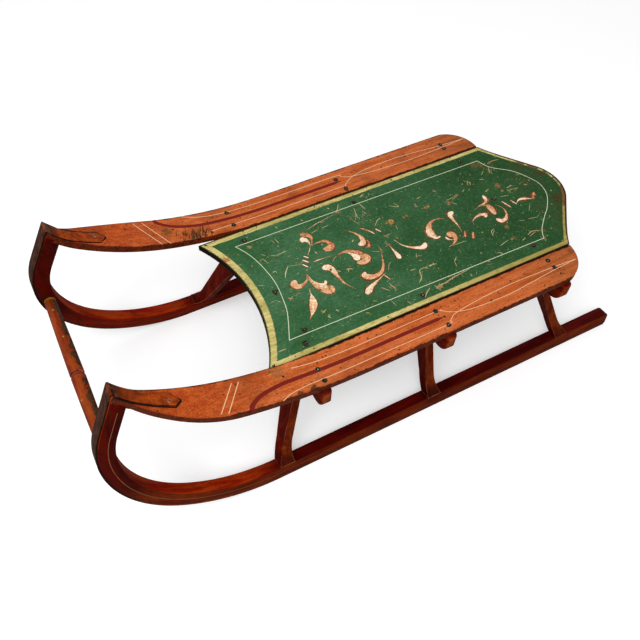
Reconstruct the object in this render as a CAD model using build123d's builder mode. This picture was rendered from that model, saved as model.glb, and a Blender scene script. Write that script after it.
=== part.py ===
from build123d import *
from math import cos, radians, sin, sqrt, tan
import os

# A child's high sled: two bentwood runners shod with iron, six posts, three crossbars,
# two bentwood side rails that come down to the noses of the runners, and a painted deck board.
# Millimetres, +X forward, +Y to the sled's left, +Z up, origin on the ground under the middle.

# Stance
SPLAY = 7.3                # lean of each runner towards the middle, degrees
TRACK_HALF = 183.1         # half the width between the runners' centres, on the ground
TAIL_X = -457.4            # back ends of the runners
DECK_TOP = 221.5           # height of the deck and of the flat part of the rails
BOARD_THICK = 10.5         # deck board and rails
UNDERSIDE = DECK_TOP - BOARD_THICK

# Runners and their iron shoes
RUNNER_WIDTH = 21.0
RUNNER_DEPTH = 26.0        # on the flat
RUNNER_THINNING = 2.5      # how much thinner it is up the bow
SHOE_THICK = 2.6
STRAP_WIDTH = 19.0
TAIL_ROUND = 14.0          # rounding of the tail's upper corner
RISE_START_X = 218.5       # where the sole leaves the ground
RISE_RADIUS = 256.6
RISE_TURN = 38.4
BOW_RADIUS = 206.0
BOW_TURN = 51.6
HOOK_RADIUS = 160.0
HOOK_TURN = 25.5
NOSE_RUN = 130.0           # straight stretch up to the nose, before it is trimmed to the rail
STRAP_THICK = 1.6          # the shoe's end, drawn thin and folded over the nose
STRAP_END_X = 334.5        # its clipped end on top of the rail
STRAP_POINT = 8.0
STRAP_FLARE = 2.5          # how much further out its corner lies at that end

# Side rails
RAIL_BEYOND = 2.9          # how far its outer edge lies beyond the runner's sole line
RAIL_OUTER = TRACK_HALF + RAIL_BEYOND
RAIL_WIDTH = 55.5
RAIL_INNER = RAIL_OUTER - RAIL_WIDTH
RAIL_REAR_X = -330.0
RAIL_REAR_ROUND = 45.0     # length of the rounded outer corner
RAIL_REAR_FULL = (0.31, 0.685)   # where its curve passes, as shares of that length and the width
RAIL_BEND_X = 75.0         # where the rail starts to rise
RAIL_RISE_RADIUS = 632.0
RAIL_RISE_TURN = 15.6
RAIL_CURL_RADIUS = 370.0
RAIL_CURL_TURN = 21.7
RAIL_NOSE_RADIUS = 129.0
RAIL_NOSE_TURN = 28.0
RAIL_TIP_RUN = 30.0
RAIL_TAPER_X = 270.0       # where the outer edge starts to close in
RAIL_TAPER_RADIUS = 236.0
RAIL_TAPER_TURN = 31.0
NOSE_HEIGHT = 352.0        # where the rail meets the runner
RAIL_NOSE_OUTER = TRACK_HALF - NOSE_HEIGHT * tan(radians(SPLAY)) + STRAP_WIDTH / 2

# Deck board
DECK_GAP = 2.0             # between the deck and each rail
DECK_HALF = RAIL_INNER - DECK_GAP
DECK_FRONT_X = 204.5
DECK_HOLLOW = 35.5         # depth of the curve cut into the front edge
DECK_REAR_X = -331.0
DECK_TIP_X = -410.5
DECK_TIP_HALF = DECK_HALF * 0.31
DECK_TIP_SAG = 12.8
DECK_EASE = 1.5            # rounding of the upper edge
DECK_FLANK_X = -356.0
DECK_FLANK_Y = DECK_HALF * 0.715

# Crossbars
BAR_XS = {"front": 144.0, "middle": -65.5, "rear": -282.0}
BAR_THICK = 18.0
BAR_DEPTH = 40.0
BAR_BEYOND = 7.0           # how far each end stands out past the rail
BAR_REACH = RAIL_OUTER + BAR_BEYOND
BAR_END_ROUND = 24.0
BAR_PLAN_ROUND = 7.0
BAR_TOP_ROUND = 5.0

# Posts: each leans inwards from the runner to the underside of its crossbar
POST_XS = {"front": (156.4, 206.4), "middle": (-68.0, -69.0), "rear": (-287.6, -342.7)}  # top, foot
POST_TOP_HALF = 6.5        # fore and aft, under the seat
POST_LOW_HALF = 8.0        # fore and aft, above the foot
POST_TOP_IN = 68.2         # how far in from the sole line its middle stands at the crossbar
POST_TOP_WIDTH = 38.6
POST_LOW_IN = 29.0         # the same where the foot starts to turn out
POST_LOW_WIDTH = 22.8
POST_LOW_Z = 66.0
FOOT_FRONT = 12.5          # reach of the foot along the runner, before and behind the post's line
FOOT_BACK = 16.0
FOOT_CURL = 30.0           # height of the curve from the foot into the back edge
SEAT_COVE = 14.0           # height of the curves from the post out to the crossbar's faces
TENON_THICK = 9.0
TENON_WIDTH = 14.0
TENON_BAR = 14.0
TENON_RUNNER = 12.0
JOINT_CLEAR = 0.1

# Front rung
RUNG_BELOW = 19.8          # how far down the bow from its foremost point
RUNG_MID_RADIUS = 10.5
RUNG_END_RADIUS = 8.0
RUNG_SLIMMING = 0.3        # share of its taper that it has lost half-way out
RUNG_TENON_RADIUS = 6.5
RUNG_TENON_LENGTH = 14.0
RUNG_GROOVE_HALF = 3.0
RUNG_GROOVE_DEPTH = 1.2

FAR = 600.0                # longer than any piece, for trimming cuts

lean_cos = cos(radians(SPLAY))
lean_sin = sin(radians(SPLAY))
# Upright side plane of the left runner, leaning with it, and the plane of its upper face
runner_plane = Plane(origin=(0, TRACK_HALF, 0), x_dir=(1, 0, 0), z_dir=(0, -lean_cos, -lean_sin))
runner_top = SHOE_THICK + RUNNER_DEPTH
foot_plane = Plane(
    origin=(0, TRACK_HALF - runner_top * lean_sin, runner_top * lean_cos),
    x_dir=(1, 0, 0),
    z_dir=(0, -lean_sin, lean_cos),
)
foot_outer = foot_plane.from_local_coords((0, RUNNER_WIDTH / 2, 0))
foot_inner = foot_plane.from_local_coords((0, -RUNNER_WIDTH / 2, 0))
rail_bends = (
    (RAIL_RISE_RADIUS, RAIL_RISE_TURN),
    (RAIL_CURL_RADIUS, RAIL_CURL_TURN),
    (RAIL_NOSE_RADIUS, RAIL_NOSE_TURN),
)
bar_bottom = UNDERSIDE - BAR_DEPTH
post_top_y = TRACK_HALF - POST_TOP_IN
post_low_y = TRACK_HALF - POST_LOW_IN
# The rung's middle lies in the middle of the runner's depth, on the bow's arc
bow_drop = RISE_RADIUS - BOW_RADIUS
bow_centre_x = RISE_START_X + bow_drop * sin(radians(RISE_TURN))
bow_centre_rise = RISE_RADIUS - bow_drop * cos(radians(RISE_TURN))
bow_middle_radius = BOW_RADIUS - SHOE_THICK - (RUNNER_DEPTH - RUNNER_THINNING) / 2
rung_x = bow_centre_x + sqrt(bow_middle_radius**2 - RUNG_BELOW**2)
rung_z = (bow_centre_rise - RUNG_BELOW) * lean_cos
rung_seat = TRACK_HALF - rung_z * lean_sin / lean_cos - RUNNER_WIDTH / 2 / lean_cos


def sole_line(inset, thinning=0):
    """Sole of a runner from tail to nose, drawn inset into the wood and less so up the bow by the
    thinning; gives its two ends."""
    bow_inset = inset - thinning
    tail = Line((TAIL_X, inset), (RISE_START_X, inset))
    rise = JernArc(tail @ 1, tail % 1, RISE_RADIUS - bow_inset, RISE_TURN)
    bow = JernArc(rise @ 1, rise % 1, BOW_RADIUS - bow_inset, BOW_TURN)
    hook = JernArc(bow @ 1, bow % 1, HOOK_RADIUS - bow_inset, HOOK_TURN)
    nose = Line(hook @ 1, hook @ 1 + (hook % 1) * NOSE_RUN)
    return tail @ 0, nose @ 1


def sole_band(outer, inner, thinning=0):
    """Closed band between two insets of the sole."""
    tail_out, nose_out = sole_line(outer)
    tail_in, nose_in = sole_line(inner, thinning)
    Line(tail_out, tail_in)
    Line(nose_out, nose_in)


def rail_line(drop):
    """Top line of a rail in side view, drawn a drop below it; gives its two ends."""
    flat = Line((RAIL_REAR_X, DECK_TOP - drop), (RAIL_BEND_X, DECK_TOP - drop))
    last = flat
    for radius, turn in rail_bends:
        last = JernArc(last @ 1, last % 1, radius + drop, turn)
    tip = Line(last @ 1, last @ 1 + (last % 1) * RAIL_TIP_RUN)
    return flat @ 0, tip @ 1


def rail_band(upper, lower):
    """Closed band between two drops of the rail's side view."""
    rear_up, tip_up = rail_line(upper)
    rear_low, tip_low = rail_line(lower)
    Line(rear_up, rear_low)
    Line(tip_up, tip_low)


def cut_beyond_nose(inset):
    """Trims whatever stands in front of the nose's straight stretch, at an inset of the sole."""
    with BuildSketch(runner_plane) as beyond:
        with BuildLine():
            tail, nose = sole_line(inset)
            Polyline(nose, nose + (FAR, 0), (2 * FAR, -FAR), (TAIL_X, -FAR), tail)
        make_face()
    extrude(beyond.sketch, amount=FAR / 2, both=True, mode=Mode.SUBTRACT)


os.makedirs("parts", exist_ok=True)
pieces = {}

# Side rail: steamed and bent up at the front, its outer edge closing in to the nose
with BuildPart() as rail_left:
    with BuildSketch(Plane.XZ):
        with BuildLine():
            rail_band(0, BOARD_THICK)
        make_face()
    extrude(amount=-RAIL_OUTER)
    with BuildSketch():
        with BuildLine():
            corner_x = RAIL_REAR_X + RAIL_REAR_ROUND * RAIL_REAR_FULL[0]
            corner_y = RAIL_INNER + (RAIL_OUTER - RAIL_INNER) * RAIL_REAR_FULL[1]
            corner = ThreePointArc(
                (RAIL_REAR_X, RAIL_INNER),
                (corner_x, corner_y),
                (RAIL_REAR_X + RAIL_REAR_ROUND, RAIL_OUTER),
            )
            side = Line(corner @ 1, (RAIL_TAPER_X, RAIL_OUTER))
            taper = JernArc(side @ 1, side % 1, RAIL_TAPER_RADIUS, -RAIL_TAPER_TURN)
            nose = Line(taper @ 1, (rung_x, RAIL_NOSE_OUTER))
            tip = Line(nose @ 1, (rung_x, RAIL_INNER))
            Line(tip @ 1, corner @ 0)
        make_face()
    extrude(amount=FAR, mode=Mode.INTERSECT)
    cut_beyond_nose(SHOE_THICK)
pieces["rail_left"] = rail_left

# Bentwood runner, trimmed under the rail at the nose, mortised for the posts and the rung
with BuildPart() as runner_left:
    with BuildSketch(runner_plane) as runner_side:
        with BuildLine():
            sole_band(SHOE_THICK, runner_top, RUNNER_THINNING)
        make_face()
        tail_top = runner_side.vertices().group_by(Axis.X)[0].sort_by(Axis.Y)[-1]
        fillet(tail_top, TAIL_ROUND)
    extrude(amount=RUNNER_WIDTH / 2, both=True)
    with BuildSketch(Plane.XZ):
        with BuildLine():
            rear, tip = rail_line(BOARD_THICK)
            Polyline(tip, tip + (0, FAR), rear + (0, FAR), rear)
        make_face()
    extrude(amount=-FAR, mode=Mode.SUBTRACT)
    for top_x, foot_x in POST_XS.values():
        with BuildSketch(foot_plane):
            with Locations((foot_x, 0)):
                Rectangle(TENON_WIDTH + 2 * JOINT_CLEAR, TENON_THICK + 2 * JOINT_CLEAR)
        extrude(amount=-TENON_RUNNER - JOINT_CLEAR, mode=Mode.SUBTRACT)
    with BuildSketch(Plane.XZ):
        with Locations((rung_x, rung_z)):
            Circle(RUNG_TENON_RADIUS + JOINT_CLEAR)
    extrude(amount=-rung_seat - RUNG_TENON_LENGTH, mode=Mode.SUBTRACT)
pieces["runner_left"] = runner_left

# Iron shoe: a strip under the sole and up the bow, folded over the nose on to the rail
with BuildPart() as shoe_left:
    with BuildSketch(runner_plane):
        with BuildLine():
            sole_band(0, SHOE_THICK)
        make_face()
    extrude(amount=RUNNER_WIDTH / 2, both=True)
    with BuildSketch(Plane.XZ):
        with BuildLine():
            rear, tip = rail_line(-STRAP_THICK)
            Polyline(tip, tip + (0, FAR), rear + (0, FAR), rear)
        make_face()
    extrude(amount=-FAR, mode=Mode.SUBTRACT)
    with BuildPart(mode=Mode.PRIVATE) as strap:
        with BuildSketch(Plane.XZ):
            with BuildLine():
                rail_band(-STRAP_THICK, 0)
            make_face()
        extrude(amount=-RAIL_OUTER)
        with BuildSketch():
            with BuildLine():
                Polyline(
                    (rung_x, RAIL_NOSE_OUTER),
                    (STRAP_END_X + STRAP_POINT, RAIL_NOSE_OUTER + STRAP_POINT + STRAP_FLARE),
                    (STRAP_END_X, RAIL_NOSE_OUTER + STRAP_FLARE),
                    (STRAP_END_X + STRAP_POINT, RAIL_NOSE_OUTER - STRAP_WIDTH / 2),
                    (rung_x, RAIL_NOSE_OUTER - STRAP_WIDTH),
                    close=True,
                )
            make_face()
        extrude(amount=FAR, mode=Mode.INTERSECT)
        cut_beyond_nose(SHOE_THICK)
    add(strap.part)
    with BuildSketch():
        Rectangle(4 * FAR, 4 * FAR)
    extrude(amount=-FAR, mode=Mode.SUBTRACT)
pieces["shoe_left"] = shoe_left

# Posts: feet turned out on to the runners, necks leaning in, tops spread under the crossbars
for place, (top_x, foot_x) in POST_XS.items():
    seat_front = max(top_x + POST_TOP_HALF, BAR_XS[place] + BAR_THICK / 2)
    seat_back = min(top_x - POST_TOP_HALF, BAR_XS[place] - BAR_THICK / 2)
    drift = (foot_x - top_x) / (bar_bottom - foot_inner.Z)
    cove_z = bar_bottom - SEAT_COVE
    cove_x = top_x + drift * SEAT_COVE
    curl_z = foot_inner.Z + FOOT_CURL
    curl_x = foot_x - drift * FOOT_CURL
    with BuildPart() as post:
        with BuildSketch(Plane.XZ):
            with BuildLine():
                front_low = (foot_x + FOOT_FRONT, 0)
                front_curl = (curl_x + POST_LOW_HALF, curl_z)
                front_cove = (cove_x + POST_TOP_HALF, cove_z)
                back_cove = (cove_x - POST_TOP_HALF, cove_z)
                back_curl = (curl_x - POST_LOW_HALF, curl_z)
                back_low = (foot_x - FOOT_BACK, 0)
                Line(front_low, (foot_x + FOOT_FRONT, foot_inner.Z))
                Line((foot_x + FOOT_FRONT, foot_inner.Z), front_curl)
                Line(front_curl, front_cove)
                Spline(
                    front_cove,
                    (seat_front, bar_bottom),
                    tangents=[(-drift, 1), (seat_front - front_cove[0], 1)],
                )
                Line((seat_front, bar_bottom), (seat_back, bar_bottom))
                Spline(
                    (seat_back, bar_bottom),
                    back_cove,
                    tangents=[(back_cove[0] - seat_back, -1), (drift, -1)],
                )
                Line(back_cove, back_curl)
                Spline(
                    back_curl,
                    (foot_x - FOOT_BACK, foot_inner.Z),
                    tangents=[(drift, -1), (-1, -1)],
                )
                Line((foot_x - FOOT_BACK, foot_inner.Z), back_low)
                Line(back_low, front_low)
            make_face()
        extrude(amount=-FAR)
        with BuildSketch(Plane.YZ):
            with BuildLine():
                seat_out = (post_top_y + POST_TOP_WIDTH / 2, bar_bottom)
                seat_in = (post_top_y - POST_TOP_WIDTH / 2, bar_bottom)
                neck_out = (post_low_y + POST_LOW_WIDTH / 2, POST_LOW_Z)
                neck_in = (post_low_y - POST_LOW_WIDTH / 2, POST_LOW_Z)
                Line((foot_inner.Y, 0), (foot_outer.Y, 0))
                Line((foot_outer.Y, 0), (foot_outer.Y, foot_outer.Z))
                neck_run = bar_bottom - POST_LOW_Z
                Spline(
                    (foot_outer.Y, foot_outer.Z),
                    neck_out,
                    tangents=[(-1, 1), (seat_out[0] - neck_out[0], neck_run)],
                )
                Line(neck_out, seat_out)
                Line(seat_out, seat_in)
                Line(seat_in, neck_in)
                Spline(
                    neck_in,
                    (foot_inner.Y, foot_inner.Z),
                    tangents=[(neck_in[0] - seat_in[0], -neck_run), (1, -1)],
                )
                Line((foot_inner.Y, foot_inner.Z), (foot_inner.Y, 0))
            make_face()
        extrude(amount=FAR, both=True, mode=Mode.INTERSECT)
        split(bisect_by=foot_plane, keep=Keep.TOP)
        with BuildSketch(Plane.XY.offset(bar_bottom)):
            with Locations((BAR_XS[place], post_top_y)):
                Rectangle(TENON_THICK, TENON_WIDTH)
        extrude(amount=TENON_BAR)
        with BuildSketch(foot_plane):
            with Locations((foot_x, 0)):
                Rectangle(TENON_WIDTH, TENON_THICK)
        extrude(amount=-TENON_RUNNER)
    pieces["post_left_" + place] = post

# The right side mirrors the left
for name in [key for key in pieces if "left" in key]:
    with BuildPart() as twin:
        mirror(pieces[name].part, about=Plane.XZ)
    pieces[name.replace("left", "right")] = twin

# Crossbars, laid on edge under the rails and the deck, their ends rounded beyond the rails
for place, bar_x in BAR_XS.items():
    with BuildPart() as crossbar:
        with BuildSketch(Plane.YZ.offset(bar_x - BAR_THICK / 2)) as bar_end:
            with Locations((0, UNDERSIDE - BAR_DEPTH / 2)):
                Rectangle(2 * BAR_REACH, BAR_DEPTH)
            fillet(bar_end.vertices().group_by(Axis.Y)[0], BAR_END_ROUND)
            fillet(bar_end.vertices().group_by(Axis.Y)[-1], BAR_TOP_ROUND)
        extrude(amount=BAR_THICK)
        with BuildSketch():
            with Locations((bar_x, 0)):
                RectangleRounded(BAR_THICK, 2 * BAR_REACH, BAR_PLAN_ROUND)
        extrude(amount=FAR, mode=Mode.INTERSECT)
        with BuildSketch(Plane.XY.offset(bar_bottom)):
            with Locations((bar_x, post_top_y), (bar_x, -post_top_y)):
                Rectangle(TENON_THICK + 2 * JOINT_CLEAR, TENON_WIDTH + 2 * JOINT_CLEAR)
        extrude(amount=TENON_BAR + JOINT_CLEAR, mode=Mode.SUBTRACT)
    pieces["crossbar_" + place] = crossbar

# Deck board: hollowed front edge, waved back edge
with BuildPart() as deck_board:
    with BuildSketch(Plane.XY.offset(UNDERSIDE)):
        with BuildLine():
            ThreePointArc(
                (DECK_FRONT_X, -DECK_HALF),
                (DECK_FRONT_X - DECK_HOLLOW, 0),
                (DECK_FRONT_X, DECK_HALF),
            )
            tip_end_x = DECK_TIP_X + DECK_TIP_SAG
            ThreePointArc(
                (tip_end_x, DECK_TIP_HALF), (DECK_TIP_X, 0), (tip_end_x, -DECK_TIP_HALF)
            )
            for side in (1, -1):
                flank = Line((tip_end_x, side * DECK_TIP_HALF), (DECK_FLANK_X, side * DECK_FLANK_Y))
                shoulder = TangentArc(
                    flank @ 1, (DECK_REAR_X, side * DECK_HALF), tangent=flank % 1
                )
                Line(shoulder @ 1, (DECK_FRONT_X, side * DECK_HALF))
        make_face()
    extrude(amount=BOARD_THICK)
    fillet(deck_board.faces().sort_by(Axis.Z)[-1].edges(), DECK_EASE)
pieces["deck_board"] = deck_board

# Turned front rung between the bows, thickest and grooved in the middle, its shoulders scribed
# to the leaning faces of the runners
with BuildPart() as front_rung:
    rung_plane = Plane(origin=(rung_x, 0, rung_z), x_dir=(0, 1, 0), z_dir=(1, 0, 0))
    with BuildSketch(rung_plane):
        with BuildLine():
            swell = RUNG_MID_RADIUS - (RUNG_MID_RADIUS - RUNG_END_RADIUS) * RUNG_SLIMMING
            left = ThreePointArc(
                (RUNG_GROOVE_HALF, RUNG_MID_RADIUS),
                (rung_seat / 2, swell),
                (rung_seat + RUNG_TENON_LENGTH, RUNG_END_RADIUS),
            )
            right = ThreePointArc(
                (-RUNG_GROOVE_HALF, RUNG_MID_RADIUS),
                (-rung_seat / 2, swell),
                (-rung_seat - RUNG_TENON_LENGTH, RUNG_END_RADIUS),
            )
            ThreePointArc(left @ 0, (0, RUNG_MID_RADIUS - RUNG_GROOVE_DEPTH), right @ 0)
            Polyline(
                left @ 1,
                (rung_seat + RUNG_TENON_LENGTH, 0),
                (-rung_seat - RUNG_TENON_LENGTH, 0),
                right @ 1,
            )
        make_face()
    revolve(axis=Axis((rung_x, 0, rung_z), (0, 1, 0)))
    for side in (1, -1):
        runner_face = Plane(
            origin=(0, side * rung_seat, rung_z),
            x_dir=(1, 0, 0),
            z_dir=(0, side * lean_cos, lean_sin),
        )
        split(bisect_by=runner_face, keep=Keep.BOTTOM)
    with BuildSketch(Plane.XZ):
        with Locations((rung_x, rung_z)):
            Circle(RUNG_TENON_RADIUS)
    extrude(amount=rung_seat + RUNG_TENON_LENGTH, both=True)
pieces["front_rung"] = front_rung

for name, piece in pieces.items():
    piece.part.label = name
    export_step(piece.part, "parts/" + name + ".step")
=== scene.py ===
import bpy
import numpy as np
from mathutils import Matrix, Vector


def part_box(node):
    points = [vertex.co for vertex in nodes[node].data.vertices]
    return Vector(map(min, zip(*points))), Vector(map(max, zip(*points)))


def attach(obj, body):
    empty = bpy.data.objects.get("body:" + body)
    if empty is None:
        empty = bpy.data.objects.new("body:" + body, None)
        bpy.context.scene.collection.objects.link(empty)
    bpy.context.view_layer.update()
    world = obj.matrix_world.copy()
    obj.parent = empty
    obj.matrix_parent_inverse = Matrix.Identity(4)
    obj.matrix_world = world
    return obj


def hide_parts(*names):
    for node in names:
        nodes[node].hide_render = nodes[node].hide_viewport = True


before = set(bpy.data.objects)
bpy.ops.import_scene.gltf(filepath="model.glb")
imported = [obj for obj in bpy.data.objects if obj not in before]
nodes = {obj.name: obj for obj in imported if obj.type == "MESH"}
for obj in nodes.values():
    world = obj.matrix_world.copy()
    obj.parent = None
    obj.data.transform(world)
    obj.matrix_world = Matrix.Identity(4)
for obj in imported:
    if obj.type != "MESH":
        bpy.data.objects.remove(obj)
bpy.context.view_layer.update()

# ---- Runners
# Two ash strips steamed and bent up into a bow, painted dark red and dulled by handling and dirt,
# with painted light and shade on their faces.
# A painter's tan hairline follows the bow on each side face.
MM = 0.001


def screen(red, green, blue):
    """A colour in linear light from its screen values: each is divided by 255, and raised to 2.2."""
    return tuple((value / 255) ** 2.2 for value in (red, green, blue)) + (1,)


def add(tree, kind, inputs=None, **settings):
    """Adds a node to a tree, sets its options, and sets or links each input that is named."""
    made = tree.nodes.new("ShaderNode" + kind)
    for option, value in settings.items():
        setattr(made, option, value)
    for name, value in (inputs or {}).items():
        if isinstance(value, bpy.types.NodeSocket):
            tree.links.new(value, made.inputs[name])
        else:
            made.inputs[name].default_value = value
    return made


def between(tree, value, low, high, to_low=0.0, to_high=1.0):
    """A smooth step: to_low where value is under low, to_high where it is over high."""
    return add(
        tree, "MapRange",
        {"Value": value, "From Min": low, "From Max": high, "To Min": to_low, "To Max": to_high},
        interpolation_type="SMOOTHSTEP",
    ).outputs["Result"]


def math(tree, operation, first, second=0.0):
    """One sum on two values or sockets."""
    return add(tree, "Math", {0: first, 1: second}, operation=operation).outputs[0]


def noise(tree, vector, scale, detail, roughness=0.5, distortion=0.0):
    """Soft noise from 0 to 1."""
    inputs = {"Vector": vector, "Scale": scale, "Detail": detail, "Roughness": roughness, "Distortion": distortion}
    return add(tree, "TexNoise", inputs).outputs["Fac"]


def product(tree, *values):
    """Several masks multiplied together."""
    result = values[0]
    for value in values[1:]:
        result = math(tree, "MULTIPLY", result, value)
    return result


def blended(tree, share, first, second):
    """A colour that goes from the first to the second with the share. Each is a socket, a screen
    colour of three values, or a linear one of four."""
    first, second = (
        screen(*colour) if isinstance(colour, tuple) and len(colour) == 3 else colour for colour in (first, second)
    )
    return add(tree, "Mix", {0: share, 6: first, 7: second}, data_type="RGBA").outputs[2]


def shaded(tree, value, span, first, second):
    """A colour that goes from the first to the second as a value crosses a span, which is low, high
    and, where it stops short, how far it gets."""
    low, high, most = (*span, 1.0)[:3]
    return blended(tree, between(tree, value, low, high, 0.0, most), first, second)


def axes(tree, vector):
    """The three parts of a vector."""
    return add(tree, "SeparateXYZ", {"Vector": vector}).outputs


def vector(tree, x, y, z):
    """A vector from three parts."""
    return add(tree, "CombineXYZ", {"X": x, "Y": y, "Z": z}).outputs[0]


def group(name, inputs, outputs):
    """An empty shader node group with named sockets, its inputs' defaults given; returns the
    group, its input sockets and a function that fills an output."""
    tree = bpy.data.node_groups.new(name, "ShaderNodeTree")
    kinds = {3: "NodeSocketVector", 4: "NodeSocketColor"}
    for socket, value in inputs.items():
        kind = kinds[len(value)] if isinstance(value, tuple) else "NodeSocketFloat"
        made = tree.interface.new_socket(socket, in_out="INPUT", socket_type=kind)
        made.default_value = value
    for socket, kind in outputs.items():
        tree.interface.new_socket(socket, in_out="OUTPUT", socket_type="NodeSocket" + kind)
    come, go = tree.nodes.new("NodeGroupInput"), tree.nodes.new("NodeGroupOutput")
    return tree, come.outputs, lambda name, value: tree.links.new(value, go.inputs[name])


def placed(tree, group_tree, inputs):
    """A node group put into a material or another group, with its own values."""
    return add(tree, "Group", inputs, node_tree=group_tree).outputs


def material(name, roughness=0.5, gloss=0.3):
    """A new material; returns it, its node tree, its Principled BSDF and Object coordinates."""
    made = bpy.data.materials.new(name)
    made.use_nodes = True
    tree = made.node_tree
    skin = tree.nodes["Principled BSDF"]
    skin.inputs["Roughness"].default_value = roughness
    skin.inputs["Specular IOR Level"].default_value = gloss
    where = tree.nodes.new("ShaderNodeTexCoord").outputs
    return made, tree, skin, where


def finish(tree, skin, colour, uneven, smoothest, roughest, height, depth, strength=0.3):
    """Joins a colour, a roughness that an uneven value moves between two others, and a bump of a
    height, at most depth metres deep."""
    tree.links.new(colour, skin.inputs["Base Color"])
    tree.links.new(between(tree, uneven, 0.3, 0.7, smoothest, roughest), skin.inputs["Roughness"])
    bump = add(tree, "Bump", {"Strength": strength, "Distance": depth, "Height": height})
    tree.links.new(bump.outputs[0], skin.inputs["Normal"])


def dress(made, *names):
    """Gives a material to CAD nodes."""
    for name in names:
        nodes[name].data.materials.clear()
        nodes[name].data.materials.append(made)


# Grain: noise drawn out along the first axis, a broad figure with fine pores over it
grain_group, come, give = group(
    "wood_grain",
    {"Vector": (0.0, 0.0, 0.0), "Figure": 18.0, "Stretch": 14.0},
    {"Figure": "Float", "Pores": "Float"},
)
drawn = add(
    grain_group, "VectorMath",
    {0: come["Vector"], 1: vector(grain_group, 1.0, come["Stretch"], come["Stretch"])},
    operation="MULTIPLY",
).outputs[0]
give("Figure", noise(grain_group, drawn, come["Figure"], 6.0, 0.6, 0.4))
give("Pores", noise(grain_group, drawn, math(grain_group, "MULTIPLY", come["Figure"], 7.0), 2.0))

# Specks: ragged dots, one to a cell, of which only a share is kept and no two are one size
speck_group, come, give = group(
    "specks",
    {"Vector": (0.0, 0.0, 0.0), "Scale": 120.0, "Share": 0.3, "Size": 0.4},
    {"Mask": "Float"},
)
cells = add(speck_group, "TexVoronoi", {"Vector": come["Vector"], "Scale": come["Scale"]})
chance = axes(speck_group, cells.outputs["Color"])
ragged = noise(speck_group, come["Vector"], math(speck_group, "MULTIPLY", come["Scale"], 4.0), 2.0)
reach = product(speck_group, chance["Y"], come["Size"], math(speck_group, "ADD", ragged, 0.4))
give("Mask", product(
    speck_group,
    math(speck_group, "LESS_THAN", chance["X"], come["Share"]),
    between(speck_group, math(speck_group, "SUBTRACT", reach, cells.outputs["Distance"]), 0.0, 0.05),
))

# Dirt: soft dark clouds with a fine mottle
dirt_group, come, give = group(
    "dirt",
    {"Vector": (0.0, 0.0, 0.0), "Color": (0.5, 0.5, 0.5, 1.0), "Dirt": (0.05, 0.03, 0.02, 1.0), "Amount": 0.5},
    {"Color": "Color"},
)
clouds = noise(dirt_group, come["Vector"], 14.0, 7.0, 0.7)
mottle = noise(dirt_group, come["Vector"], 240.0, 3.0)
cover = product(
    dirt_group,
    math(
        dirt_group, "MAXIMUM",
        between(dirt_group, clouds, 0.45, 0.72),
        between(dirt_group, mottle, 0.52, 0.68, 0.0, 0.5),
    ),
    come["Amount"],
)
give("Color", blended(dirt_group, cover, come["Color"], come["Dirt"]))

# Edge wear: where a rounded normal leaves the face's own, on a width broken up by noise
wear_group, come, give = group(
    "edge_wear", {"Vector": (0.0, 0.0, 0.0), "Radius": 0.001, "Share": 0.5}, {"Mask": "Float"}
)
soft = add(wear_group, "Bevel", {"Radius": come["Radius"]}, samples=4).outputs[0]
face = add(wear_group, "NewGeometry").outputs["Normal"]
agree = add(wear_group, "VectorMath", {0: soft, 1: face}, operation="DOT_PRODUCT").outputs["Value"]
patchy = noise(wear_group, come["Vector"], 45.0, 5.0)
give("Mask", product(
    wear_group,
    between(wear_group, math(wear_group, "SUBTRACT", 1.0, agree), 0.02, 0.12),
    between(wear_group, math(wear_group, "SUBTRACT", come["Share"], patchy), -0.12, 0.08),
))


def soiled(tree, where, colour, dirt, amount):
    """A colour under clouds of dirt."""
    inputs = {"Vector": where["Object"], "Color": colour, "Dirt": screen(*dirt), "Amount": amount}
    return placed(tree, dirt_group, inputs)["Color"]


def edge_worn(tree, where, colour, radius, share, tint, most):
    """A colour whose arrises are rubbed to a tint."""
    mask = placed(tree, wear_group, {"Vector": where["Object"], "Radius": radius, "Share": share})["Mask"]
    return blended(tree, product(tree, mask, most), colour, tint)


# Bow: coordinates that follow the bent runner, its length first. Ahead of the bow's middle they are
# the angle about it times the bow's radius, and the depth from the sole's circle.
BOW_CENTRE_X = 235 * MM
BOW_CENTRE_Z = 232 * MM
BOW_RADIUS = 222 * MM
bow_group, come, give = group("bow_coordinates", {"Vector": (0.0, 0.0, 0.0)}, {"Vector": "Vector"})
x, y, z = axes(bow_group, come["Vector"])
ahead = math(bow_group, "SUBTRACT", x, BOW_CENTRE_X)
down = math(bow_group, "SUBTRACT", BOW_CENTRE_Z, z)
angle = math(bow_group, "ARCTAN2", ahead, down)
reach = math(bow_group, "SQRT", math(
    bow_group, "ADD", math(bow_group, "MULTIPLY", ahead, ahead), math(bow_group, "MULTIPLY", down, down)
))
along = math(bow_group, "MULTIPLY", angle, BOW_RADIUS)
bent = vector(bow_group, along, y, math(bow_group, "SUBTRACT", BOW_RADIUS, reach))
straight = vector(bow_group, ahead, y, z)
in_bow = math(bow_group, "GREATER_THAN", x, BOW_CENTRE_X)
give("Vector", add(bow_group, "Mix", {0: in_bow, 4: straight, 5: bent}, data_type="VECTOR").outputs[1])


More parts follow.
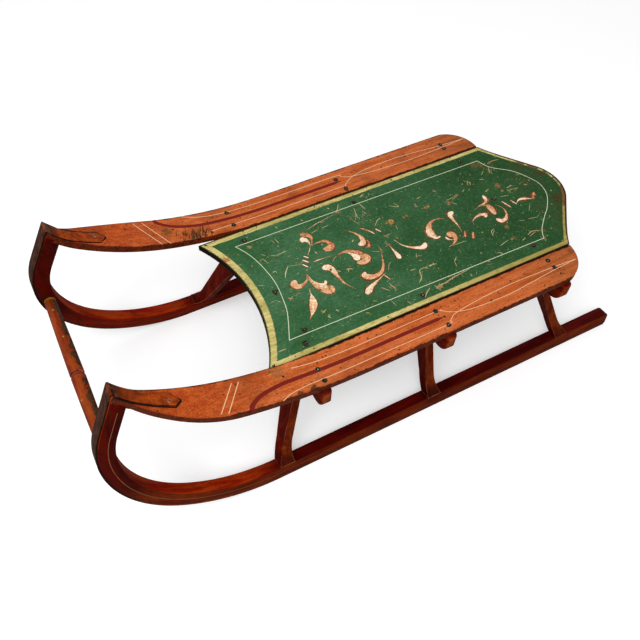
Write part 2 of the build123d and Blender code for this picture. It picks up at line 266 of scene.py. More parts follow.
def red_paint(name, turned, shaded_tops, lit_flanks, arris, bow=False):
    """Dark red paint for one kind of piece; turned(tree, where) gives coordinates with the grain
    along the first axis. Faces that look up or along the sled take the first two shades, darker ones
    as painted shade, and side faces the next two, lighter ones as painted light; arris is the width
    and the share of its rubbed arrises. With bow the upper faces are painted lighter inside the bow,
    the inner sides painted redder and lighter, the sides painted darker up the bow and the faces
    turned forward and down beside the iron painted nearly black, all as painted light and shade.
    Without bow it is painted darker towards a post's foot, as a painted shadow."""
    made, tree, skin, where = material(name, gloss=0.04)
    grain = placed(tree, grain_group, {"Vector": turned(tree, where["Object"]), "Figure": 9.0, "Stretch": 9.0})
    figure = between(tree, grain["Figure"], 0.35, 0.65)
    x, y, z = axes(tree, where["Object"])
    nx, ny, nz = axes(tree, where["Normal"])
    # faces looking up or along the sled get the darker pair, painted shade; side faces the lighter pair, painted
    # light
    top, flank = blended(tree, figure, *shaded_tops), blended(tree, figure, *lit_flanks)
    if bow:
        # inside the bow the upper faces are painted lighter: painted light
        ahead = between(tree, x, 0.20, 0.28)
        top = blended(tree, ahead, top, blended(tree, figure, (126, 24, 2), (158, 56, 16)))
        # the inner sides are painted redder and lighter: painted light
        lit_inner_sides = between(tree, product(tree, ny, y), 0.0, -0.05)
        flank = blended(tree, lit_inner_sides, flank, blended(tree, figure, (110, 18, 2), (134, 34, 8)))
        # up the bow the sides are painted darker: painted shade
        flank = shaded(tree, z, (0.10, 0.18), flank, blended(tree, figure, (62, 2, 1), (88, 14, 4)))
    side = between(tree, math(tree, "ABSOLUTE", ny), 0.5, 0.9)
    red = blended(tree, side, top, flank)
    if bow:
        # faces turned forward and down, beside the iron, are painted nearly black: painted shade
        outward = between(tree, math(tree, "SUBTRACT", nx, nz), 0.3, 0.6)
        red = blended(tree, product(tree, outward, 0.85), red, (34, 10, 6))
    else:
        # towards a post's foot the red is painted darker: a painted shadow
        red = shaded(tree, z, (0.055, 0.034, 0.7), red, (50, 12, 4))
    streak = product(tree, side, between(tree, grain["Pores"], 0.52, 0.66, 0.0, 0.7))
    red = blended(tree, streak, red, (64, 34, 12))
    soil = soiled(tree, where, red, (36, 6, 2), 0.6)
    width, share = arris
    worn = edge_worn(tree, where, soil, width, share, (168, 98, 66), 0.8)
    finish(tree, skin, worn, grain["Pores"], 0.42, 0.6, grain["Pores"], 0.0004)
    return made


runner_red = red_paint(
    "runner_red", lambda tree, where: placed(tree, bow_group, {"Vector": where})["Vector"],
    ((60, 3, 1), (84, 16, 4)), ((88, 26, 5), (118, 46, 14)), (0.0014, 0.52), bow=True,
)

# A line of paint's section: shares of its width, and of its thickness above the surface
LINE_ACROSS = np.array([-0.5, -0.36, -0.18, 0.0, 0.18, 0.36, 0.5])
LINE_UP = np.array([-0.6, 0.8, 1.0, 1.0, 1.0, 0.8, -0.6])


def smooth(points, step=3.0):
    """A curve through points, steps of about step apart: on each run from b to c, with a and d the
    points before and after, p(t) = b + t (c - a) / 2 + t^2 (a - 5 b / 2 + 2 c - d / 2)
    + t^3 (3 b - 3 c + d - a) / 2, for t from 0 to 1."""
    given = np.asarray(points, float)
    before = np.vstack([2 * given[0] - given[1], given, 2 * given[-1] - given[-2]])
    runs = []
    for place in range(len(given) - 1):
        a, b, c, d = before[place:place + 4]
        count = max(int(np.hypot(*(c - b)[:2]) / step), 2)
        t = np.linspace(0, 1, count, endpoint=False)[:, None]
        runs.append(
            b + t * (c - a) / 2 + t**2 * (a - 2.5 * b + 2 * c - d / 2) + t**3 * (3 * b - 3 * c + d - a) / 2
        )
    return np.vstack(runs + [given[-1:]])


def lofted(grid, closed=False):
    """Joins rings of corners, an array of count x ring x 3, into one closed skin: quads between
    neighbouring rings and a cap on each end, or the last ring joined to the first if closed. It is
    turned the other way round where its volume, the sum of a . (b x c) / 6 over its triangles,
    measured from its middle, comes out negative."""
    count, ring = grid.shape[:2]
    corners = grid.reshape(-1, 3)
    rows = np.arange(count if closed else count - 1)[:, None] * ring
    columns = np.arange(ring)[None]
    after = (columns + 1) % ring
    quads = np.stack([rows + columns, rows + after, rows + ring + after, rows + ring + columns], -1)
    quads = quads.reshape(-1, 4) % (count * ring)
    faces = quads.tolist()
    a, b, c, d = (corners - corners.mean(0))[quads.T]
    volume = (a * np.cross(b, c)).sum() + (a * np.cross(c, d)).sum()
    if not closed:
        caps = np.arange(ring)[::-1], np.arange(count * ring - ring, count * ring)
        for cap in caps:
            edge = corners[cap] - corners.mean(0)
            volume += (edge[0] * np.cross(edge[1:-1], edge[2:])).sum()
            faces.append(cap.tolist())
    if volume < 0:
        faces = [face[::-1] for face in faces]
    return corners * MM, faces


def untoned(grid):
    """A closed skin from rings, with a tone of 0 all over."""
    return *lofted(grid), np.zeros(grid.shape[0] * grid.shape[1])


def line(path, width, place, thick=0.12, tone=0.0, tone_across=0.0, closed=False, shift=0.0):
    """A line of paint along a path on a surface, in millimetres: at each point p, with n the path's
    direction turned a quarter round and lengthened by 1 / cos(half the bend), the section's points
    are p + (shift + across * width) n, raised by up * thick. place(points, raised) puts them on
    the surface. Gives its corners, its faces and a tone for each corner."""
    path = np.asarray(path, float)
    width = np.broadcast_to(np.asarray(width, float), len(path))
    tone = np.broadcast_to(np.asarray(tone, float), len(path))
    ends = [path[-1:], path, path[:1]] if closed else [2 * path[:1] - path[1:2], path, 2 * path[-1:] - path[-2:-1]]
    steps = np.diff(np.vstack(ends), axis=0)
    steps /= np.linalg.norm(steps, axis=1)[:, None]
    middle = steps[:-1] + steps[1:]
    middle /= np.linalg.norm(middle, axis=1)[:, None]
    mitre = 1 / np.maximum((middle * steps[1:]).sum(1), 0.45)
    side = np.column_stack([-middle[:, 1], middle[:, 0]]) * mitre[:, None]
    offset = np.broadcast_to(shift, len(path))[:, None] + LINE_ACROSS * width[:, None]
    points = path[:, None] + offset[:, :, None] * side[:, None]
    raised = np.broadcast_to(LINE_UP * thick, points.shape[:2])
    grid = place(points.reshape(-1, 2), raised.ravel()).reshape(len(path), len(LINE_ACROSS), 3)
    tones = (tone[:, None] + tone_across * LINE_ACROSS[None]).ravel()
    return *lofted(grid, closed), tones


def join(name, parts, made, smooth_faces=False):
    """One mesh from many parts of corners, faces and tones, with the tones as an attribute."""
    starts = np.cumsum([0] + [len(part[0]) for part in parts])
    faces = [[corner + start for corner in face] for part, start in zip(parts, starts) for face in part[1]]
    mesh = bpy.data.meshes.new(name)
    mesh.from_pydata(np.vstack([part[0] for part in parts]), [], faces)
    mesh.attributes.new("tone", "FLOAT", "POINT").data.foreach_set(
        "value", np.concatenate([part[2] for part in parts]).astype(np.float32)
    )
    mesh.polygons.foreach_set("use_smooth", np.full(len(mesh.polygons), smooth_faces))
    mesh.materials.append(made)
    piece = bpy.data.objects.new(name, mesh)
    bpy.context.scene.collection.objects.link(piece)
    return piece


SPLAY = np.radians(7.3)
TRACK_HALF = 183.1
RUNNER_WIDTH = 21.0
HAIRLINE_INSET = 15.5
HAIRLINE_WIDTH = 1.1
RISE_START = 218.5
# the sole's arcs: radius and turn in degrees of the rise, the bow and the hook, then the straight nose
SOLE_ARCS = ((256.6, 38.4), (206.0, 51.6), (160.0, 25.5))
NOSE_REACH = 44.0


def bent_path(start_x, bend_x, base, arcs, inset, reach):
    """A bent strip's line in side view, an inset above its base line: straight from start_x to
    bend_x, then for each arc of radius R and middle (cx, ch) the points (cx + (R - inset) sin a,
    ch - (R - inset) cos a), with a running on from arc to arc, and a straight end of some reach.
    Gives the points and the line's slope a at each."""
    runs, slopes = [np.array([[start_x, base + inset], [bend_x, base + inset]])], [np.zeros(2)]
    at, angle = np.array([bend_x, base]), 0.0
    for radius, turn in arcs:
        middle = at + radius * np.array([-np.sin(angle), np.cos(angle)])
        sweep = angle + np.radians(np.linspace(0, turn, 30))
        arm = np.column_stack([np.sin(sweep), -np.cos(sweep)])
        runs.append((middle + (radius - inset) * arm)[1:])
        slopes.append(sweep[1:])
        angle = sweep[-1]
        at = middle + radius * arm[-1]
    runs.append(runs[-1][-1:] + reach * np.array([[np.cos(angle), np.sin(angle)]]))
    return np.vstack(runs), np.concatenate(slopes + [[angle]])


def on_runner(side, face):
    """Puts points (x, height up the runner) on the outer (face 1) or inner (face -1) side of the
    left (side 1) or right (side -1) runner: y = side (T - h sin s + face (w / 2 + raised) cos s),
    z = h cos s + face (w / 2 + raised) sin s, for the splay s."""
    def place(points, raised):
        out = face * (RUNNER_WIDTH / 2 + raised)
        across = TRACK_HALF - points[:, 1] * np.sin(SPLAY) + out * np.cos(SPLAY)
        return np.column_stack([points[:, 0], side * across, points[:, 1] * np.cos(SPLAY) + out * np.sin(SPLAY)])
    return place


def tone_of(tree):
    """The tone that join() keeps for each corner."""
    return add(tree, "Attribute", attribute_type="GEOMETRY", attribute_name="tone").outputs["Fac"]


def line_paint(name, light, dark, ground, wear=0.5, roughness=0.5):
    """Paint for a thin line: its colour goes from light to dark with its tone, and it has rubbed
    through to the ground colour in places, more so where wear is high."""
    made, tree, skin, where = material(name, gloss=0.1)
    tone = tone_of(tree)
    streaks = noise(tree, where["Object"], 320.0, 3.0)
    mixed = math(tree, "ADD", tone, between(tree, streaks, 0.3, 0.7, -0.12, 0.12))
    colour = blended(tree, mixed, light, dark)
    rub = noise(tree, where["Object"], 85.0, 6.0, 0.75)
    rubbed = between(tree, rub, 0.72 - 0.25 * wear, 0.76 - 0.22 * wear)
    colour = blended(tree, rubbed, colour, ground)
    finish(tree, skin, colour, streaks, roughness - 0.06, roughness + 0.08, streaks, 0.0001, 0.2)
    return made


RUNNER_DEPTH = 26.0
RUNNER_THINNING = 2.5
SHOE_THICK = 2.6
TAIL_X = -457.4
TAIL_ROUND = 13.0
TAIL_UNDER = 3.0
SHOE_BACK = 2.0
TAIL_TONGUE = 6.5
ARRIS = 2.0
# the rail's line in side view, which the runner's end and the strap meet: where it starts to rise,
# then the radius and turn of each arc
RAIL_BEND_X = 75.0
RAIL_ARCS = ((632.0, 15.6), (370.0, 21.7), (129.0, 28.0))
RAIL_TOP = 221.5
RAIL_TIP = 60.0
INTO_RAIL = 4.0
BOARD_THICK = 10.5
FIBRE_REACH = 140.0


def rounded(half, low, high, arris, steps=5):
    """Outlines, one for each station: a rectangle from -half to half and from low to high whose
    corners are quarter circles of radius arris, middle + arris (cos a, sin a)."""
    arris = np.minimum(arris, 0.98 * np.minimum(half, (high - low) / 2))
    quarters = []
    for number, (along, up) in enumerate(((1, 1), (-1, 1), (-1, -1), (1, -1))):
        angle = np.pi / 2 * (number + np.linspace(0, 1, steps))
        middle = np.stack([along * (half - arris), (high + low) / 2 + up * ((high - low) / 2 - arris)], -1)
        quarters.append(middle[:, None] + arris[:, None, None] * np.stack([np.cos(angle), np.sin(angle)], -1))
    return np.concatenate(quarters, 1)


def tongue(length, distance):
    """Share of a width at some distance from a blunt end: (1 - (1 - distance / length)^2.6)^(1 / 2.6)."""
    return np.clip(1 - (1 - np.clip(distance / length, 0, 1)) ** 2.6, 0.02, 1) ** (1 / 2.6)


def quarter(radius, distance):
    """How far a corner rounded to a radius has drawn in, at some distance from the end:
    radius - sqrt(radius^2 - (radius - distance)^2)."""
    return radius - np.sqrt(radius**2 - np.clip(radius - distance, 0, radius) ** 2)


def out_of_plane(side, x, height, across):
    """Points of a leaning runner from x, the height up its plane and the distance across it:
    y = side (T - height sin s + across cos s), z = height cos s + across sin s."""
    return np.stack([
        x, side * (TRACK_HALF - height * np.sin(SPLAY) + across * np.cos(SPLAY)),
        height * np.cos(SPLAY) + across * np.sin(SPLAY),
    ], -1)


def sole_stations(start):
    """The sole's points, slopes and distances from its start, closer together at that end."""
    points, slope = bent_path(start, RISE_START, 0.0, SOLE_ARCS, SHOE_THICK, 1.0)
    tail = start + TAIL_ROUND * (1 - np.cos(np.linspace(0, np.pi / 2, 12)))
    along = np.concatenate([tail, np.linspace(TAIL_X + 30, RISE_START - 20, 12)])
    flat = np.column_stack([along, np.full(len(along), SHOE_THICK)])
    points, slope = np.vstack([flat, points[1:-1]]), np.concatenate([np.zeros(len(along)), slope[1:-1]])
    return points, slope, points[:, 0] - start


def runner(side):
    """The runner's section carried along the sole: half its width across, and from the shoe to
    its depth, less t (1 - cos a) where it slopes by a; its tail is a blunt tongue whose upper
    and lower corners are quarter circles. Its front end goes on straight, each fibre until it is
    inside the rail."""
    points, slope, distance = sole_stations(TAIL_X)
    drop, rise = quarter(TAIL_ROUND, distance), quarter(TAIL_UNDER, distance)
    high = RUNNER_DEPTH - RUNNER_THINNING * (1 - np.cos(slope)) - drop
    half = RUNNER_WIDTH / 2 * tongue(TAIL_TONGUE, distance)
    section = rounded(half, rise, high, np.full(len(points), ARRIS))
    across, up = section[..., 0], section[..., 1]
    x = points[:, :1] - up * np.sin(slope)[:, None]
    height = points[:, 1:] + up * np.cos(slope)[:, None]
    ahead = np.linspace(0, FIBRE_REACH, 600)
    tip_x = x[-1][:, None] + ahead * np.cos(slope[-1])
    tip_height = height[-1][:, None] + ahead * np.sin(slope[-1])
    under, _ = bent_path(0.0, RAIL_BEND_X, RAIL_TOP, RAIL_ARCS, INTO_RAIL - BOARD_THICK, RAIL_TIP)
    rail_there = np.interp(tip_x, under[:, 0], under[:, 1])
    tip_z = tip_height * np.cos(SPLAY) + across[-1][:, None] * np.sin(SPLAY)
    reach = ahead[np.argmax(tip_z >= rail_there, axis=1)]
    steps = np.linspace(0, 1, 9)[1:, None] * reach
    x = np.vstack([x, x[-1] + steps * np.cos(slope[-1])])
    height = np.vstack([height, height[-1] + steps * np.sin(slope[-1])])
    across = np.vstack([across, np.repeat(across[-1:], len(steps), 0)])
    grid = out_of_plane(side, x, height, across)
    return untoned(grid)


for side, node in ((1, "runner_left"), (-1, "runner_right")):
    piece = join("bent_" + node, [runner(side)], runner_red, smooth_faces=True)
    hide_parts(node)
    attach(piece, "root")

HAIRLINE_START = 120.0
INNER_HAIRLINE_TOP = 95.0
hairlines = []
for side in (1, -1):
    for face in (1, -1):
        path, slope = bent_path(HAIRLINE_START, RISE_START, 0.0, SOLE_ARCS, HAIRLINE_INSET, NOSE_REACH)
        # behind the bow and low down it darkens towards the tail
        fading = np.clip((260.0 - path[:, 0]) / 120.0, 0, 1) * (path[:, 1] < 60)
        # on the inner sides it has worn away up the bow, and almost so below
        kept = path[:, 1] < (np.inf if face == 1 else INNER_HAIRLINE_TOP)
        dulled = fading if face == 1 else np.maximum(fading, 0.8)
        hairlines.append(line(path[kept], HAIRLINE_WIDTH, on_runner(side, face), tone=dulled[kept]))
tan_line = line_paint("tan_hairline", (130, 84, 58), (92, 48, 26), (92, 28, 12), wear=0.55)
runner_hairlines = join("runner_hairlines", hairlines, tan_line)
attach(runner_hairlines, "root")

# ---- Iron shoes
# A strip of mild steel under each sole, drawn thin at its end and folded over the nose on to the
# rail, where one screw holds it. The fold's top is painted with the rail, the rest is brown rust,
# its sides painted darker up the bow as shade.
iron, tree, skin, where = material("brown_iron", gloss=0.08)
rust = noise(tree, where["Object"], 120.0, 8.0, 0.7)
metal = shaded(tree, rust, (0.35, 0.65), (40, 20, 12), (84, 52, 36))
x, y, z = axes(tree, where["Object"])
rise = axes(tree, where["Normal"])["Z"]
side = between(tree, math(tree, "ABSOLUTE", axes(tree, where["Normal"])["Y"]), 0.5, 0.8)
# the iron's sides are painted brown low down and nearly black up the bow: painted shade
flank = shaded(tree, z, (60 * MM, 180 * MM), (84, 38, 16), (30, 10, 6))
metal = blended(tree, product(tree, side, 0.9), metal, flank)
under = between(tree, rise, -0.75, -0.95)
metal = blended(tree, under, metal, shaded(tree, rust, (0.4, 0.6), (74, 60, 52), (150, 140, 130)))
fold = product(tree, between(tree, rise, 0.45, 0.6), math(tree, "GREATER_THAN", x, 300 * MM))
paint = shaded(tree, rust, (0.4, 0.62), (180, 76, 16), (134, 50, 10))
paint = shaded(tree, z, (322 * MM, 344 * MM), paint, (98, 40, 16))
skinned = blended(tree, fold, metal, paint)
bare = between(tree, rust, 0.5, 0.6)
at_fold = product(tree, between(tree, z, 338 * MM, 347 * MM), bare)
skinned = blended(tree, product(tree, at_fold, 0.3), skinned, (150, 110, 88))
soil = soiled(tree, where, skinned, (44, 24, 18), 0.55)
worn = edge_worn(tree, where, soil, 0.0009, 0.5, (62, 38, 24), 0.6)
finish(tree, skin, worn, rust, 0.45, 0.65, rust, 0.0004, 0.4)
STRAP_THICK = 1.6
STRAP_HALF = 9.5
STRAP_END_X = 334.5
STRAP_FLARE_X = 342.5
STRAP_SINK = 0.4
FOLD_SHARE = 0.8
CREASE_REACH = 150.0
# the distances from the tail between which the strip narrows
TAPER = (700.0, 1000.0)
NOSE_HEIGHT = 352.0
NOSE_OUTER = TRACK_HALF - NOSE_HEIGHT * np.tan(SPLAY) + STRAP_HALF
# how far out of NOSE_OUTER the strap's edges lie: at its clipped end, at its flare and at the crease
STRAP_OUTER = (3.5, 10.5, 0.0)
STRAP_INNER = (1.5, -9.5, -19.0)


def shoe(side):
    """The strip under the sole, its section a flat rectangle hung from the wood's face by its
    thickness. Up the nose each fibre goes on to the crease where the nose's plane meets the rail's
    face, turns about that crease, and comes down the rail's face, flaring, to a clipped point."""
    points, slope, distance = sole_stations(TAIL_X + SHOE_BACK)
    count = len(points)
    half = RUNNER_WIDTH / 2 * tongue(TAIL_TONGUE, distance)
    half *= np.interp(distance, TAPER, (1, STRAP_HALF / (RUNNER_WIDTH / 2)))
    section = rounded(half, np.full(count, -SHOE_THICK), np.full(count, 0.2), np.full(count, 0.7), steps=3)
    across, up = section[..., 0], section[..., 1]
    x = points[:, :1] - up * np.sin(slope)[:, None]
    height = points[:, 1:] + up * np.cos(slope)[:, None]
    rings = [out_of_plane(1, x, height, across)]
    # the crease: where the wood's front face meets the rail's face, seen from the side
    end = slope[-1]
    top, rise = bent_path(0.0, RAIL_BEND_X, RAIL_TOP, RAIL_ARCS, 0.0, RAIL_TIP)
    ahead = np.linspace(0, CREASE_REACH, 1500)
    nose_x = points[-1, 0] + ahead * np.cos(end)
    nose_height = points[-1, 1] + ahead * np.sin(end)
    at = np.argmax(nose_height * np.cos(SPLAY) >= np.interp(nose_x, top[:, 0], top[:, 1]))
    crease = out_of_plane(1, nose_x[at], nose_height[at], 0.0)
    rail_slope = np.interp(crease[0], top[:, 0], rise)
    nose_out = np.array([np.sin(end), np.cos(end) * np.sin(SPLAY), -np.cos(end) * np.cos(SPLAY)])
    rail_out = np.array([-np.sin(rail_slope), 0, np.cos(rail_slope)])
    fold = np.cross(rail_out, nose_out)
    fold /= fold[1]
    flat_across, flat_up = section[-1, :, 0], -section[-1, :, 1]
    lift = np.clip(flat_up, 0, None) / SHOE_THICK
    creased = crease + flat_across[:, None] * fold
    last = rings[0][-1]
    at_nose = creased + nose_out * (flat_up * FOLD_SHARE)[:, None]
    rings.append(last + np.linspace(0, 1, 8)[1:, None, None] * (at_nose - last))
    # about the crease the outward way turns from the nose's to the rail's
    turn = np.arccos(nose_out @ rail_out)
    for share in np.linspace(0, 1, 9)[1:]:
        way = (np.sin((1 - share) * turn) * nose_out + np.sin(share * turn) * rail_out) / np.sin(turn)
        thick = (1 - share) * FOLD_SHARE * SHOE_THICK + share * STRAP_THICK
        rings.append((creased + way * (lift * thick)[:, None])[None])
    # down the rail's face
    flaring = np.linspace(crease[0] - 3, STRAP_FLARE_X, 14)
    along = np.concatenate([flaring, np.linspace(STRAP_FLARE_X, STRAP_END_X, 7)[1:]])
    places = (STRAP_END_X, STRAP_FLARE_X, crease[0])
    outer = NOSE_OUTER + np.interp(along, places, STRAP_OUTER)
    inner = NOSE_OUTER + np.interp(along, places, STRAP_INNER)
    share = flat_across / (2 * np.abs(flat_across).max()) + 0.5
    y = inner[:, None] + share * (outer - inner)[:, None]
    tilt = np.interp(along, top[:, 0], rise)[:, None]
    raised = lift * (STRAP_THICK + STRAP_SINK) - STRAP_SINK
    rings.append(np.stack([
        along[:, None] - raised * np.sin(tilt), y,
        np.interp(along, top[:, 0], top[:, 1])[:, None] + raised * np.cos(tilt),
    ], -1))
    grid = np.concatenate(rings) * (1, side, 1)
    # its outer arris, lower because of the lean, is worn flat on the ground
    grid[..., 2] = np.maximum(grid[..., 2], 0)
    return untoned(grid)


for side, node in ((1, "shoe_left"), (-1, "shoe_right")):
    piece = join("folded_" + node, [shoe(side)], iron, smooth_faces=True)
    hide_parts(node)
    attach(piece, "root")

RAIL_TOP_STEP = 1.5
rail_low, rail_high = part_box("rail_left")
rail_xs = np.arange(rail_low.x / MM + 0.5, rail_high.x / MM - 6, RAIL_TOP_STEP)


def rail_heights(side):
    """Heights of a rail's upper face, in millimetres, at rail_xs, found by a ray straight down on it
    just inside its inner edge."""
    rail = nodes["rail_left" if side > 0 else "rail_right"]
    across = side * (rail_low.y + 2 * MM)
    return np.array([rail.ray_cast((x * MM, across, 1), (0, 0, -1))[1].z / MM for x in rail_xs])


rail_tops = {side: rail_heights(side) for side in (1, -1)}


def on_rail(side, lift=0.0):
    """Puts points (x, distance from the middle) on the upper face of a rail, raised along the
    face's own normal (-dz/dx, 0, 1) / sqrt(1 + (dz/dx)^2)."""
    def place(points, raised):
        x = points[:, 0]
        height = np.interp(x, rail_xs, rail_tops[side])
        slope = np.interp(x, rail_xs, np.gradient(rail_tops[side], RAIL_TOP_STEP))
        out = (raised + lift) / np.sqrt(1 + slope**2)
        return np.column_stack([x - slope * out, side * points[:, 1], height + out])
    return place


def dome(middle, along, up, radius, height, slot=0.0, rings=6, spokes=24):
    """A low round head: at share r of its radius it stands height (1.25 - r^2) above the face, less
    a slot of half width slot across its middle, and it ends in a skirt under the face."""
    along, up = (np.asarray(way, float) / np.linalg.norm(way) for way in (along, up))
    across = np.cross(up, along)
    share = np.repeat(np.linspace(1, 0, rings, endpoint=False), spokes)
    angle = np.tile(np.linspace(0, 2 * np.pi, spokes, endpoint=False), rings)
    run, aside = share * radius * np.cos(angle), share * radius * np.sin(angle)
    raised = height * (1 - share**2) + 0.25 * height
    raised -= np.where(np.abs(aside) < slot, 0.8 * height, 0)
    raised[:spokes] = -0.3
    flat = np.column_stack([run, aside, raised])
    flat = np.vstack([flat, [[0, 0, (1.25 - (0.8 if slot else 0)) * height]]])
    corners = (np.asarray(middle) + flat @ np.array([along, across, up])) * MM
    row = np.arange(spokes)
    after = np.roll(row, -1)
    ring, last = np.arange(rings - 1)[:, None] * spokes, (rings - 1) * spokes
    quads = np.stack([ring + row, ring + after, ring + spokes + after, ring + spokes + row], -1)
    tip = np.column_stack([last + row, last + after, np.full(spokes, rings * spokes)])
    faces = quads.reshape(-1, 4).tolist() + tip.tolist() + [row[::-1].tolist()]
    return corners, faces, share.tolist() + [0.0]


def seated(place, at):
    """A point on a face, the way forward along the face there, and the way out of it."""
    here, ahead, above = place(np.array([at, (at[0] + 1, at[1]), at], float), np.array([0, 0, 1.0]))
    return here, ahead - here, above - here


SCREW_AT = (347.5, 149.9)
SCREW_RADIUS = 4.0
SCREW_HEIGHT = 0.9
screws = [
    dome(*seated(on_rail(side, STRAP_THICK), SCREW_AT), SCREW_RADIUS, SCREW_HEIGHT, slot=0.7) for side in (1, -1)
]
screw_iron, tree, skin, where = material("screw_iron", gloss=0.35)
tone = tone_of(tree)
pits = noise(tree, where["Object"], 700.0, 4.0)
dull = shaded(tree, pits, (0.4, 0.6), (92, 44, 28), (168, 104, 70))
dull = shaded(tree, tone, (0.35, 0.1), dull, (42, 20, 16))
finish(tree, skin, dull, pits, 0.4, 0.6, pits, 0.0002)
strap_screws = join("strap_screws", screws, screw_iron, smooth_faces=True)
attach(strap_screws, "root")

# ---- Posts
# Six ash posts, shaved thin in the neck, whose feet are tenoned into the runners. Red, with the
# arrises rubbed pale.
# on the posts the front faces are painted darker as shade, the sides lighter as light, and the foot darker as a
# painted shadow
post_red = red_paint(
    "post_red", lambda tree, where: add(tree, "Mapping", {"Vector": where, "Rotation": (0, np.pi / 2, 0)}).outputs[0],
    ((74, 8, 2), (104, 28, 8)), ((86, 24, 8), (124, 52, 20)), (0.0018, 0.52),
)
dress(post_red, *[name for name in nodes if name.startswith("post")])

# ---- Crossbars
# Three ash bars on edge across the posts' heads, mortised for their tenons. The ends are rounded,
# and the paint is the frame's.
# on the bars the upper faces are painted darker as shade and the ends lighter as painted light
bar_red = red_paint(
    "bar_red", lambda tree, where: add(tree, "Mapping", {"Vector": where, "Rotation": (0, 0, np.pi / 2)}).outputs[0],
    ((78, 12, 3), (112, 34, 10)), ((120, 50, 20), (160, 76, 36)), (0.0018, 0.55),
)
BAR_THICK = 18.0
BAR_DEPTH = 40.0
BAR_REACH = 193.0
BAR_END_ROUND = 24.0
BAR_TOP_ROUND = 5.0
BAR_PLAN_ROUND = 8.6


def crossbar(node):
    """A rectangle carried along the bar; near each end its lower side, its upper side and its two
    faces draw in by quarter circles of three radii."""
    low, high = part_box(node)
    middle, top = (low.x + high.x) / 2 / MM, high.z / MM
    run = np.concatenate([BAR_END_ROUND * (1 - np.cos(np.linspace(0.06, np.pi / 2, 18))), [100.0, BAR_REACH]])
    distance = np.concatenate([run, run[-2::-1]])
    y = np.concatenate([BAR_REACH - run, run[-2::-1] - BAR_REACH])
    half = BAR_THICK / 2 - quarter(BAR_PLAN_ROUND, distance)
    section = rounded(
        half, top - BAR_DEPTH + quarter(BAR_END_ROUND, distance), top - quarter(BAR_TOP_ROUND, distance),
        np.full(len(y), 1.6), steps=4,
    )
    grid = np.stack([middle + section[..., 0], np.broadcast_to(y[:, None], section.shape[:2]), section[..., 1]], -1)
    return untoned(grid)


for place in ("front", "middle", "rear"):
    piece = join("shaped_crossbar_" + place, [crossbar("crossbar_" + place)], bar_red, smooth_faces=True)
    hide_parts("crossbar_" + place)
    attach(piece, "root")

# ---- Side rails
# Two ash boards bent up to the noses and nailed to the crossbars: orange stain and varnish on top,
# dark edges, a maroon stripe, cream lines that cross at the back, and dirt in the pores.
blotch_group, come, give = group(
    "blotch", {"Vector": (0.0, 0.0, 0.0), "Middle": (0.0, 0.0, 0.0), "Reach": 0.01, "Rag": 0.6}, {"Mask": "Float"}
)
away = add(blotch_group, "VectorMath", {0: come["Vector"], 1: come["Middle"]}, operation="DISTANCE").outputs["Value"]
rag = noise(blotch_group, come["Vector"], 260.0, 5.0, 0.7)
near = math(blotch_group, "SUBTRACT", 1.0, math(blotch_group, "DIVIDE", away, come["Reach"]))
strongly = math(blotch_group, "MULTIPLY", come["Rag"], 4.0)
shaken = math(blotch_group, "ADD", near, product(blotch_group, math(blotch_group, "SUBTRACT", rag, 0.62), strongly))
give("Mask", between(blotch_group, shaken, 0.0, 0.25))


def blotched(tree, where, colour, middle, reach, tint, share=0.85, rag=1.0):
    """A colour with one ragged blotch of a tint on it."""
    inputs = {"Vector": where["Object"], "Middle": middle, "Reach": reach, "Rag": rag}
    return blended(tree, product(tree, placed(tree, blotch_group, inputs)["Mask"], share), colour, tint)


def speckled(tree, where, colour, specks, tint, share):
    """A colour with specks of a tint, from their scale, number and size; gives their mask too."""
    inputs = dict(zip(("Vector", "Scale", "Share", "Size"), (where["Object"], *specks)))
    mask = placed(tree, speck_group, inputs)["Mask"]
    return blended(tree, product(tree, mask, share) if share < 1 else mask, colour, tint), mask


orange, tree, skin, where = material("orange_stain", gloss=0.1)
grain = placed(tree, grain_group, {"Vector": where["Object"], "Figure": 11.0, "Stretch": 12.0})
x, y, z = axes(tree, where["Object"])
pale = shaded(tree, grain["Figure"], (0.32, 0.66), (182, 84, 34), (208, 112, 62))
deep = shaded(tree, grain["Figure"], (0.32, 0.66), (166, 60, 14), (196, 88, 34))
stain = shaded(tree, x, (0.18, 0.34), pale, deep)
browner = shaded(tree, grain["Figure"], (0.35, 0.6), (128, 74, 38), (172, 92, 46))
stain = shaded(tree, x, (-0.18, -0.32, 0.75), stain, browner)
stain = shaded(tree, grain["Pores"], (0.5, 0.72, 0.55), stain, (128, 50, 18))
mottle = noise(tree, where["Object"], 420.0, 5.0, 0.7)
stain = shaded(tree, mottle, (0.5, 0.7, 0.6), stain, (118, 48, 18))
stain = shaded(tree, mottle, (0.46, 0.34, 0.35), stain, (226, 136, 86))
stain, specks = speckled(tree, where, stain, (190.0, 0.3, 0.4), (92, 36, 14), 0.8)
stain, _ = speckled(tree, where, stain, (60.0, 0.14, 0.22), (70, 30, 14), 0.85)
for middle, reach, share, tint in (
    ((0.243, -0.156, 0.244), 0.013, 0.75, (96, 72, 34)),
    ((0.205, -0.140, 0.235), 0.022, 0.45, (110, 74, 36)),
    ((0.382, -0.141, 0.318), 0.020, 0.5, (92, 52, 26)),
    ((0.160, 0.184, 0.228), 0.010, 0.9, (60, 54, 30)),
    ((0.182, 0.182, 0.232), 0.007, 0.8, (62, 52, 30)),
    ((0.196, 0.140, 0.236), 0.018, 0.5, (128, 92, 50)),
    ((-0.322, 0.166, 0.2215), 0.012, 0.6, (110, 84, 48)),
    ((-0.322, 0.140, 0.2215), 0.008, 0.6, (100, 66, 40)),
):
    stain = blotched(tree, where, stain, middle, reach, tint, share, rag=0.6)
